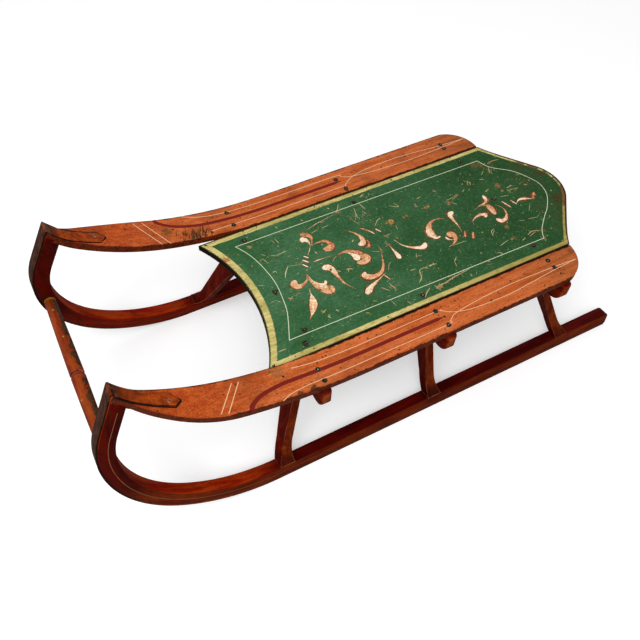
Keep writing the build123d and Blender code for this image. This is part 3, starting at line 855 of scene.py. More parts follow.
# darker along both edges, its border shaken by noise
out = math(tree, "ABSOLUTE", y)
shake = noise(tree, where["Object"], 95.0, 6.0, 0.7)
RAIL_OUTER = 186 * MM
RAIL_INNER = 130.5 * MM
from_edge = math(tree, "MINIMUM", math(tree, "SUBTRACT", RAIL_OUTER, out), math(tree, "SUBTRACT", out, RAIL_INNER))
ragged = math(tree, "ADD", from_edge, between(tree, shake, 0.3, 0.7, -0.0015, 0.0015))
stain = shaded(tree, ragged, (0.0022, 0.0006, 0.9), stain, (48, 18, 8))
stain = edge_worn(tree, where, stain, 0.0022, 0.6, (44, 16, 8), 0.9)
upper = between(tree, axes(tree, where["Normal"])["Z"], 0.2, 0.3)
side_paint = shaded(tree, shake, (0.36, 0.56), (58, 14, 6), (94, 36, 14))
side_paint = shaded(tree, mottle, (0.52, 0.66, 0.7), side_paint, (150, 78, 34))
rail_colour = blended(tree, upper, side_paint, stain)
soil = soiled(tree, where, rail_colour, (96, 40, 16), 0.5)
height = math(tree, "SUBTRACT", grain["Pores"], specks)
finish(tree, skin, soil, grain["Pores"], 0.4, 0.58, height, 0.0004, 0.25)
dress(orange, "rail_left", "rail_right")

# Stripe and lines in plan: distances forward and out from the middle, the same on both rails
STRIPE_WIDTH = 6.8
STRIPE_CLOSING = 12
STRIPE = ((254, 185.5), (249, 178), (233, 168), (206, 161.5), (172, 159), (60, 158.5), (-68, 158.5))
CREAM_WIDTH = 1.05
INNER_LINE = (
    (176, 141.4), (139, 144.3), (60, 145.5), (-60, 145.5), (-69, 146.5), (-78, 153.4), (-93, 160.2), (-121, 165.5),
    (-178, 167.7), (-223, 164.8), (-268, 160.9), (-320, 158),
)
OUTER_LINE = (
    (209, 185.6), (195, 179.5), (173, 175.5), (144, 173.9), (60, 173), (-62, 173), (-72, 169.3), (-82, 162.5),
    (-93, 160.2), (-121, 156.4), (-155, 154.1), (-200, 152.7), (-246, 154.1), (-275, 155.2), (-320, 158),
)
BAND_PAIRS = {1: ((262, 138, 293, 180), (252, 138, 284, 182)), -1: ((258, 132, 286, 181), (245, 131.5, 273, 183))}
stripes, creams = [], []
for side in (1, -1):
    stripe = smooth(STRIPE)
    ending = np.clip((stripe[:, 0] - STRIPE[-1][0]) / STRIPE_CLOSING, 0.3, 1)
    stripes.append(line(stripe, STRIPE_WIDTH * ending, on_rail(side), thick=0.1))
    creams.append(line(smooth(INNER_LINE), CREAM_WIDTH, on_rail(side), thick=0.12))
    creams.append(line(smooth(OUTER_LINE), CREAM_WIDTH, on_rail(side), thick=0.15))
    for band in BAND_PAIRS[side]:
        creams.append(line(smooth(np.reshape(band, (2, 2))), CREAM_WIDTH + 0.2, on_rail(side), thick=0.14))
maroon_line = line_paint("maroon_stripe", (114, 34, 26), (94, 28, 20), (170, 72, 32), wear=0.25)
cream_line = line_paint("cream_line", (232, 188, 146), (222, 170, 124), (196, 106, 62), wear=0.4)
rail_stripes = join("rail_stripes", stripes, maroon_line)
rail_lines = join("rail_lines", creams, cream_line)
for piece in (rail_stripes, rail_lines):
    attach(piece, "root")

# A painted shadow in the corner between the strap and the rail, along the strap's edge
SEAM_WIDTH = 2.6
STRAP_OUTLINE = (
    (388, 131.2), (366, 134.8), (343.5, 138.4), (333.4, 149.0), (333.2, 151.4), (342.2, 159.8), (366, 155.8),
    (390, 151.8), (405, 149.6),
)
strap_shadow_lines = [line(STRAP_OUTLINE, SEAM_WIDTH, on_rail(side), thick=0.1) for side in (1, -1)]
strap_shadow_paint = line_paint("strap_shadow_paint", (40, 14, 8), (32, 12, 8), (96, 36, 14), wear=0.2)
strap_shadows = join("strap_shadows", strap_shadow_lines, strap_shadow_paint)
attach(strap_shadows, "root")

# Splinters and scuffs across the right rail's inner edge, as their starts, their runs and their tones
chance = np.random.default_rng(11)
SPLINTERS = 64
SPLINTER_WIDTHS = (1.9, 1.3, 0.2)
starts = np.column_stack([chance.triangular(170, 206, 234, SPLINTERS), chance.uniform(130.5, 147, SPLINTERS)])
reach = np.column_stack([chance.normal(-3.4, 0.9, SPLINTERS), chance.uniform(4, 15, SPLINTERS)])
splinters = [
    line((start, start + 0.55 * run + (0.6, 0), start + run), SPLINTER_WIDTHS, on_rail(-1), thick=0.1, tone=tone)
    for start, run, tone in zip(starts, reach, chance.uniform(0, 1, SPLINTERS))
]
splinter_dirt = line_paint("splinter_dirt", (46, 30, 16), (92, 58, 28), (150, 70, 30), wear=0.3)
rail_splinters = join("rail_splinters", splinters, splinter_dirt)
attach(rail_splinters, "root")

# Nails into the crossbars: flat heads set in rings of olive putty, and a few pins
NAIL_RADIUS = 3.4
HEAD_HEIGHT = 0.45
PUTTY_RADIUS = 5.6
PUTTY_HEIGHT = 0.14
RAIL_NAILS = {
    1: ((142, 157.5), (142, 176.8), (-62, 144.6), (-66, 173.9), (-277, 140.9), (-277.5, 156.4)),
    -1: ((138, 142.5), (138, 171.8), (-66.6, 139), (-61, 165), (-274, 151.4), (-273, 162.3)),
}
PIN_RADIUS = 1.5
PIN_PUTTY_RADIUS = 2.4
PINS = {1: ((192, 150), (-279, 170.5), (-69, 158.5)), -1: ((232, 160),)}


def nail(place, at, radius, putty):
    """A nail's head and the ring of putty under it, square to the face at a point."""
    seat = seated(place, at)
    return (
        dome(*seat, radius, HEAD_HEIGHT, rings=4, spokes=18), dome(*seat, putty, PUTTY_HEIGHT, rings=3, spokes=18)
    )


nails = [nail(on_rail(side), at, NAIL_RADIUS, PUTTY_RADIUS) for side in (1, -1) for at in RAIL_NAILS[side]]
nails += [nail(on_rail(side), at, PIN_RADIUS, PIN_PUTTY_RADIUS) for side in (1, -1) for at in PINS[side]]

# ---- Deck board
# One wide pine board on the crossbars, hollowed in front and waved behind: dark green oil paint, a
# yellow-green border, a cream line, and a running scroll of loaded brush strokes, all scratched.
deck_low, deck_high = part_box("deck_board")
DECK_TOP = deck_high.z / MM
DECK_HALF = deck_high.y / MM
DECK_FRONT = deck_high.x / MM
DECK_TIP = deck_low.x / MM
DARK_GREEN = (14, 18, 10)


def on_deck(points, raised):
    """Puts points (forward, left) on the deck's upper face."""
    return np.column_stack([points, DECK_TOP + raised])


DECK_NAILS = (
    (135.5, -107), (136.6, 109), (128, 88), (136, 7), (-62.7, -104), (-61, 111), (-278.4, -108), (-276, 106),
    (-280, -7.5),
)
nails += [nail(on_deck, at, NAIL_RADIUS, PUTTY_RADIUS) for at in DECK_NAILS]
nail_iron, tree, skin, where = material("nail_iron", gloss=0.15)
pits = noise(tree, where["Object"], 600.0, 4.0)
head = shaded(tree, pits, (0.4, 0.6), (14, 10, 8), (42, 32, 24))
tone = tone_of(tree)
fleck = product(tree, between(tree, tone, 0.5, 0.3), between(tree, pits, 0.52, 0.58))
head = blended(tree, product(tree, fleck, 0.8), head, (176, 158, 126))
finish(tree, skin, head, pits, 0.4, 0.6, pits, 0.0002)
putty, tree, skin, where = material("olive_putty", gloss=0.2)
crumbs = noise(tree, where["Object"], 420.0, 4.0)
brown = shaded(tree, crumbs, (0.42, 0.6), (24, 20, 12), (76, 62, 36))
finish(tree, skin, brown, crumbs, 0.6, 0.8, crumbs, 0.0003)
nail_heads = join("nail_heads", [pair[0] for pair in nails], nail_iron, smooth_faces=True)
nail_putty = join("nail_putty", [pair[1] for pair in nails], putty, smooth_faces=True)
for piece in (nail_heads, nail_putty):
    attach(piece, "root")

green, tree, skin, where = material("green_paint", gloss=0.08)
grain = placed(tree, grain_group, {"Vector": where["Object"], "Figure": 9.0, "Stretch": 10.0})
cloud = noise(tree, where["Object"], 11.0, 6.0, 0.65)
paint = shaded(tree, cloud, (0.36, 0.64), (50, 90, 54), (66, 106, 72))
x, y, z = axes(tree, where["Object"])
deeper = shaded(tree, cloud, (0.36, 0.64), (36, 70, 36), (46, 82, 46))
paint = shaded(tree, x, (0.12, -0.34), paint, deeper)
paint = shaded(tree, grain["Pores"], (0.5, 0.75, 0.4), paint, (34, 60, 34))
mottle = noise(tree, where["Object"], 300.0, 5.0, 0.75)
paint = shaded(tree, mottle, (0.52, 0.68, 0.55), paint, (24, 52, 30))
paint = shaded(tree, mottle, (0.46, 0.34, 0.3), paint, (112, 140, 104))
rubbed = product(tree, between(tree, x, -0.30, -0.40), between(tree, cloud, 0.45, 0.6))
paint = blended(tree, product(tree, rubbed, 0.5), paint, (60, 54, 30))
paint, flecks = speckled(tree, where, paint, (110.0, 0.24, 0.24), (160, 150, 104), 0.75)
paint, pits = speckled(tree, where, paint, (62.0, 0.12, 0.22), (164, 112, 70), 0.8)
for x_at, y_at in DECK_NAILS:
    middle = (x_at * MM, y_at * MM, DECK_TOP * MM)
    paint = blotched(tree, where, paint, middle, 0.0085, (30, 36, 20), rag=0.9)
for x_at, y_at, reach, tint in (
    (-0.305, -0.031, 0.0095, (140, 96, 60)),
    (-0.094, -0.038, 0.0085, (182, 122, 76)),
    (-0.098, -0.041, 0.0050, (206, 150, 100)),
    (-0.297, -0.091, 0.0120, (112, 78, 46)),
    (-0.309, -0.087, 0.0110, (116, 80, 48)),
    (-0.326, -0.085, 0.0080, (108, 78, 46)),
    (-0.313, -0.069, 0.0070, (112, 86, 52)),
    (-0.205, -0.036, 0.0055, (160, 112, 70)),
    (-0.205, -0.031, 0.0050, (150, 104, 66)),
    (-0.120, -0.0395, 0.0040, (160, 104, 66)),
    (-0.126, -0.0395, 0.0038, (160, 104, 66)),
    (-0.164, -0.043, 0.0045, (176, 120, 76)),
    (-0.170, -0.0425, 0.0045, (176, 120, 76)),
    (-0.311, 0.087, 0.0080, (120, 76, 46)),
    (-0.254, 0.078, 0.0050, (150, 112, 72)),
    (-0.259, 0.079, 0.0050, (150, 112, 72)),
    (-0.261, 0.054, 0.0058, (158, 112, 72)),
    (-0.066, 0.0015, 0.0070, (128, 84, 54)),
    (-0.028, -0.098, 0.0055, (168, 112, 72)),
    (0.133, -0.091, 0.0055, (150, 132, 92)),
    (-0.380, 0.036, 0.0160, (70, 48, 26)),
    (-0.392, 0.030, 0.0120, (78, 52, 28)),
    (-0.388, -0.024, 0.0120, (74, 56, 28)),
):
    paint = blotched(tree, where, paint, (x_at, y_at, DECK_TOP * MM), reach, tint)
upper = between(tree, axes(tree, where["Normal"])["Z"], 0.55, 0.9)
edged = blended(tree, upper, DARK_GREEN, paint)
height = math(tree, "SUBTRACT", math(tree, "MULTIPLY", grain["Pores"], 0.5), math(tree, "MAXIMUM", flecks, pits))
finish(tree, skin, edged, cloud, 0.44, 0.58, height, 0.0003, 0.3)
dress(green, "deck_board")

# The deck's outline: a hollow front of chord 2 H and depth h, so of radius (H^2 + h^2) / 2 h, two
# straight sides, two shoulders and flanks, and a round tip found from its chord in the same way
HOLLOW_DEPTH = 35.5
SIDES_END_X = -331.0
FLANK_X = -356.0
FLANK_Y = DECK_HALF * 0.715
TIP_HALF = DECK_HALF * 0.31
TIP_SAG = 12.8


def bulge(half, depth, count):
    """Offsets of an arc on a chord 2 half, depth deep: sqrt(R^2 - y^2) - (R - depth)."""
    radius = (half**2 + depth**2) / (2 * depth)
    across = np.linspace(-half, half, count)
    return across, np.sqrt(radius**2 - across**2) - (radius - depth)


FRONT_POINTS = 41
front_y, front_dip = bulge(DECK_HALF, HOLLOW_DEPTH, FRONT_POINTS)
tip_y, tip_out = bulge(TIP_HALF, TIP_SAG, 21)
shoulder = smooth(((SIDES_END_X, DECK_HALF), (-341.0, DECK_HALF * 0.873), (FLANK_X, FLANK_Y)), 3.0)
flank = np.linspace((FLANK_X, FLANK_Y), (DECK_TIP + TIP_SAG, TIP_HALF), 12)[1:-1]
left = np.vstack([shoulder, flank])
outline = np.vstack([
    np.column_stack([DECK_FRONT - front_dip, front_y]),
    left,
    np.column_stack([DECK_TIP + TIP_SAG - tip_out, -tip_y]),
    (left * (1, -1))[::-1],
])
BORDER_FRONT = 12.0
BORDER_SIDE = 9.6
BORDER_BACK = 4.4
BORDER_EDGE = 1.4
BORDER_EDGE_BACK = 2.8
border_width = np.interp(outline[:, 0], (-345, -325), (BORDER_BACK, BORDER_SIDE))
broader = np.sin(np.linspace(0, np.pi, FRONT_POINTS)) ** 0.6
border_width[:FRONT_POINTS] = BORDER_SIDE + (BORDER_FRONT - BORDER_SIDE) * broader
border_edge = np.interp(outline[:, 0], (-352, -335), (BORDER_EDGE_BACK, BORDER_EDGE))
border = line(
    outline, border_width, on_deck, thick=0.08, tone_across=1.0, closed=True, shift=border_edge + border_width / 2
)
border_paint, tree, skin, where = material("border_paint", gloss=0.08)
grain = placed(tree, grain_group, {"Vector": where["Object"], "Figure": 16.0, "Stretch": 6.0})
yellow = shaded(tree, grain["Figure"], (0.35, 0.65), (172, 158, 92), (212, 198, 128))
yellow = shaded(tree, grain["Pores"], (0.48, 0.7, 0.6), yellow, (124, 104, 54))
across = math(tree, "ABSOLUTE", tone_of(tree))
across = math(tree, "ADD", across, between(tree, grain["Pores"], 0.3, 0.7, -0.06, 0.06))
yellow = shaded(tree, across, (0.34, 0.46, 0.8), yellow, (104, 86, 44))
yellow, _ = speckled(tree, where, yellow, (170.0, 0.3, 0.4), (70, 56, 28), 0.85)
x, y, z = axes(tree, where["Object"])
behind = product(tree, between(tree, x, 0.0, -0.2), between(tree, y, -0.02, 0.02))
yellow = blended(tree, product(tree, behind, 0.6), yellow, (138, 120, 52))
rub = noise(tree, where["Object"], 70.0, 7.0, 0.75)
ends = math(tree, "MAXIMUM", between(tree, x, -0.33, -0.39, 0.0, 0.24), between(tree, x, 0.16, 0.19, 0.0, 0.05))
rubbed = between(tree, math(tree, "ADD", rub, ends), 0.66, 0.72)
yellow = blended(tree, rubbed, yellow, shaded(tree, rub, (0.4, 0.6), (64, 50, 28), (128, 82, 48)))
yellow = blotched(tree, where, yellow, (0.176, -0.083, 0.2215), 0.014, (160, 88, 48), 0.8)
finish(tree, skin, yellow, rub, 0.46, 0.6, rub, 0.0002, 0.3)
deck_border = join("deck_border", [border], border_paint)

# the dark line outside the border, broad and ragged round the tip
edge_width = np.interp(outline[:, 0], (-345, -330), (3.0, 1.4))
edge_dirt = line_paint("edge_dirt", (58, 36, 20), (44, 28, 14), (122, 92, 50), wear=0.55)
edge = line(outline, edge_width, on_deck, thick=0.06, closed=True, shift=edge_width / 2 + 0.1)
deck_edge = join("deck_edge", [edge], edge_dirt)

LINE_WIDTH = 1.15
LINE_FRONT = (
    (153, -101), (142, -80), (134, -55), (129, -25), (128, -5), (130, 16), (135, 45), (144.5, 70), (155, 94),
)
LINE_BACK = (
    (-301, 100), (-311, 83), (-334, 61), (-350, 47.5), (-369, 22.5), (-374, -2.5), (-366, -25), (-350, -50),
    (-320.5, -75), (-309, -98),
)
inner = np.vstack([smooth(LINE_FRONT), smooth(LINE_BACK)])
cream_border = line_paint("deck_line", (214, 222, 186), (176, 196, 150), (84, 116, 76), wear=0.2)
deck_line = join("deck_line", [line(inner, LINE_WIDTH, on_deck, thick=0.1, closed=True)], cream_border)

# Scroll: a brush stroke a row, with its greatest width, where along it that is, the tones of its
# tail and head, the tone across, and then x and y of its points from tail to head. Tones run from
# 0, cream, over tan to 1, red brown.
STROKES = (
    (14, 0.8, 0.8, 0.7, 0.1, 46, -49, 40.5, -57.5, 37.5, -66.5, 42.5, -76, 51, -79),
    (16, 0.8, 0.4, 0, 0.1, 47, -49.5, 45.5, -57.5, 47.5, -65, 55.5, -70.5),
    (2, 0.5, 0.2, 0.1, 0, 47.5, -50, 52, -43.5, 59, -36), (5.4, 0.5, 0.05, 0.2, 0.4, 66, -37, 60, -30.5),
    (6, 0.5, 0.05, 0.2, 0.4, 71, -31, 64, -22), (5.4, 0.5, 0.05, 0.2, 0.4, 75, -23, 69, -14),
    (17, 0.78, 0.85, 0.5, 0.35, 47, -50.5, 33, -52.5, 19.5, -49.5, 16, -39.5, 21, -33.5, 31, -35.5),
    (17, 0.78, 0.75, 0.35, 0.3, 78, -3.5, 81.5, 6, 90, 12.5, 100, 13, 103.5, 6.5, 99, 0),
    (22, 0.84, 0.8, 0.62, 0.2, 77.5, -3.5, 78.5, 11.5, 72, 29.5, 61.5, 38.5, 52, 36),
    (13, 0.82, 0.6, 0.3, 0.2, 77, -2.5, 76, 14.5, 69.5, 27, 59, 33.5),
    (9.5, 0.86, 0.2, 0, 0.1, 76.5, 1.5, 75, 13, 68.5, 23, 61, 26, 57.5, 21),
    (1.8, 0.5, 0.3, 0.2, 0, 85.5, 23.5, 88.5, 29, 90, 35.5),
    (17, 0.56, 0.4, 0.15, 0.35, 112, 75, 103, 65.5, 94.5, 52, 90.5, 39.5, 88.5, 31.5),
    (17, 0.86, 0.8, 0.08, 0.3, 24, 55, 33, 40, 36.5, 24, 37.5, 10.5, 40.5, 1, 51, -2.5),
    (4.4, 0.86, 0.5, 0.15, 0.3, 19, -16.5, 33, -19, 57, -20),
    (15, 0.74, 0.8, 0.7, 0.3, 30, -7.5, 19.5, -14.5, 3.5, -17, -11, -10.5, -18.5, 3, -14.5, 15),
    (18, 0.78, 0.3, 0, 0.1, 6, -16, -2, -10.5, -7, -1.5, -9, 8),
    (17, 0.5, 0.5, 0.45, 0.1, -22.5, 0.5, -22.5, 10.5, -14, 14.5, -2.5, 12),
    (16, 0.82, 0.8, 0.08, 0.35, -18.5, -57.5, -27, -48, -33.5, -37.5, -35, -27, -31, -19.5, -23, -19.5),
    (9.5, 0.6, 0.85, 0.75, 0.2, -40, -27, -40.5, -17, -36, -9.5, -29.5, -10),
    (4.4, 0.5, 0.7, 0.55, 0.3, -42, -49.5, -49, -44), (5, 0.5, 0.6, 0.45, 0.3, -48, -44.5, -55, -35),
    (5.6, 0.5, 0.2, 0.05, 0.3, -53, -39, -58.5, -28.5), (5.6, 0.5, 0.2, 0.05, 0.3, -64.5, -38, -70, -28),
    (15, 0.82, 0.5, 0.03, 0.3, -67, -1, -67.5, 13.5, -68.5, 24, -68.5, 34.5),
    (16, 0.86, 0.35, 0, 0.2, -79.5, -4.5, -85, 10, -93, 19, -103, 26, -114.5, 29.5, -122.5, 24),
    (18, 0.84, 0.8, 0.3, 0.3, -51, 1, -44.5, 19, -35, 38, -22, 46.5, -9, 46, -1, 39.5, -5, 33),
    (18, 0.82, 0.4, 0.15, 0.3, -32.5, 49, -16.5, 55.5, -2.5, 61, 7.5, 67, 14.5, 71.5),
    (3.8, 0.5, 0.5, 0.35, 0.2, -28, 48.5, -33, 64),
    (21, 0.76, 0.7, 0.3, 0.35, -178.5, -7, -167.5, -11.5, -155, -10, -144.5, -1.5, -140, 12, -144, 22.5),
    (11, 0.7, 0.1, 0, 0.1, -142, 1, -138, 13.5, -142.5, 22.5, -151.5, 23),
    (21, 0.82, 0.7, 0.5, 0.3, -151.5, 48, -163, 44.5, -170.5, 38, -171.5, 29, -162.5, 24),
    (8, 0.75, 0.25, 0.03, 0, -169.5, 39.5, -164, 37, -159, 33, -158, 27.5),
    (17, 0.84, 0.5, 0.02, 0.3, -188.5, 30, -190.5, 14.5, -190.5, -1, -191.5, -10, -200.5, -14),
    (9, 0.5, 0.7, 0.55, 0.3, -194, 30.5, -187, 42), (9, 0.5, 0.7, 0.55, 0.3, -204.5, 38.5, -196.5, 50.5),
    (15, 0.84, 0.65, 0.12, 0.3, -215.5, 26, -218, 18.5, -228, 13, -238, 12, -245.5, 15, -242.5, 20.5),
    (14.5, 0.82, 0.7, 0.08, 0.3, -235, -1, -248, -5.5, -260, -7, -266, -12.5, -268, -23),
    (19, 0.5, 0.55, 0.45, 0.25, -261, -2.5, -262, 10, -261.5, 22.5),
    (4, 0.6, 0.85, 0.85, 0, -246.5, -4.5, -258, -2.5, -267, 4),
    (17, 0.84, 0.65, 0.08, 0.35, -274.5, 4, -281, 15.5, -279.5, 28, -271, 38, -261.5, 38.5, -256.5, 31),
    (6, 0.5, 0.15, 0.2, 0.3, -288.5, 2.5, -295, 20.5), (4.4, 0.5, 0.2, 0.2, 0.3, -303.5, 6, -308, 19),
    (12, 0.56, 0.25, 0.2, 0.35, -307, 18.5, -317.5, 12, -329, 14.5, -340.5, 21),
    (12, 0.5, 0.8, 0.75, 0.2, -338, 21, -352.5, 8.5),
    (2.1, 0.3, 0.25, 0.4, 0, 41, -82, 26.5, -86.5, 11.5, -90, -10, -93, -19.5, -95.5, -31.5, -97.5),
)


def stroke(points, width, widest, tail, head, across, thick, spread=0.0):
    """One pull of the brush, by the share t of its length. A bead, widest in the middle, is an
    ellipse: width (1 - (2 t - 1)^2)^0.5. Up to its widest place w, a comma is
    width (0.05 + 0.95 (t / w)^1.8) and a leaf, whose w is under 2 / 3, is
    width (0.04 + 0.96 sin^2(pi t / 2 w)). Past it, with u = (t - w) / (1 - w), they are
    width (1 - u^2)^k: k is 1/2 for a comma's round head and 1.6 for a leaf's point. A spread adds
    to the width. The tone is tail + (head - tail) t^1.5."""
    path = smooth(points, 1.2)
    run = np.insert(np.cumsum(np.linalg.norm(np.diff(path, axis=0), axis=1)), 0, 0)
    # more points where the head closes
    even = np.append(np.linspace(0, widest, 22), widest + (1 - widest) * np.sin(np.linspace(0.15, np.pi / 2, 9)))
    path = np.column_stack([np.interp(even, run / run[-1], path[:, place]) for place in (0, 1)])
    past = np.clip(1 - ((even - widest) / (1 - widest)) ** 2, 0.0004, 1)
    if widest == 0.5:
        swell = np.clip(1 - (2 * even - 1) ** 2, 0.0025, 1) ** 0.5
    elif widest < 2 / 3:
        swell = np.where(even < widest, np.sin(np.pi / 2 * even / widest) ** 2 * 0.96 + 0.04, past**1.6)
    else:
        swell = np.where(even < widest, (even / widest) ** 1.8 * 0.95 + 0.05, past**0.5)
    return line(
        path, (width + spread) * swell, on_deck, thick, tone=tail + (head - tail) * even**1.5,
        tone_across=across,
    )


scroll_paint, tree, skin, where = material("scroll_paint", gloss=0.1)
tone = tone_of(tree)
bristle = noise(tree, where["Object"], 380.0, 4.0)
swirl = noise(tree, where["Object"], 120.0, 3.0, distortion=1.5)
mixed = math(tree, "ADD", tone, between(tree, bristle, 0.3, 0.7, -0.12, 0.12))
mixed = math(tree, "ADD", mixed, between(tree, swirl, 0.35, 0.65, -0.24, 0.18))
colour = shaded(tree, mixed, (0.08, 0.34), (240, 222, 190), (222, 176, 132))
colour = shaded(tree, mixed, (0.36, 0.6), colour, (206, 140, 94))
colour = shaded(tree, mixed, (0.64, 0.86), colour, (160, 102, 74))
colour = shaded(tree, mixed, (0.9, 1.06), colour, (96, 58, 38))
colour, _ = speckled(tree, where, colour, (150.0, 0.12, 0.45), (36, 84, 54), 1.0)
finish(tree, skin, colour, bristle, 0.42, 0.58, bristle, 0.0002, 0.3)
# each stroke lies on a dark one that is a little wider
UNDER_SPREAD = 0.5
UNDER_TONES = (1.2, 1.2, 0.1)
pulls = [(np.reshape(row[5:], (-1, 2)), row[:5]) for row in STROKES]
strokes = [stroke(points, *row, 0.10 + 0.004 * number) for number, (points, row) in enumerate(pulls)]
strokes += [
    stroke(points, *row[:2], *UNDER_TONES, 0.098 + 0.004 * number, UNDER_SPREAD)
    for number, (points, row) in enumerate(pulls)
]
deck_scroll = join("deck_scroll", strokes, scroll_paint)

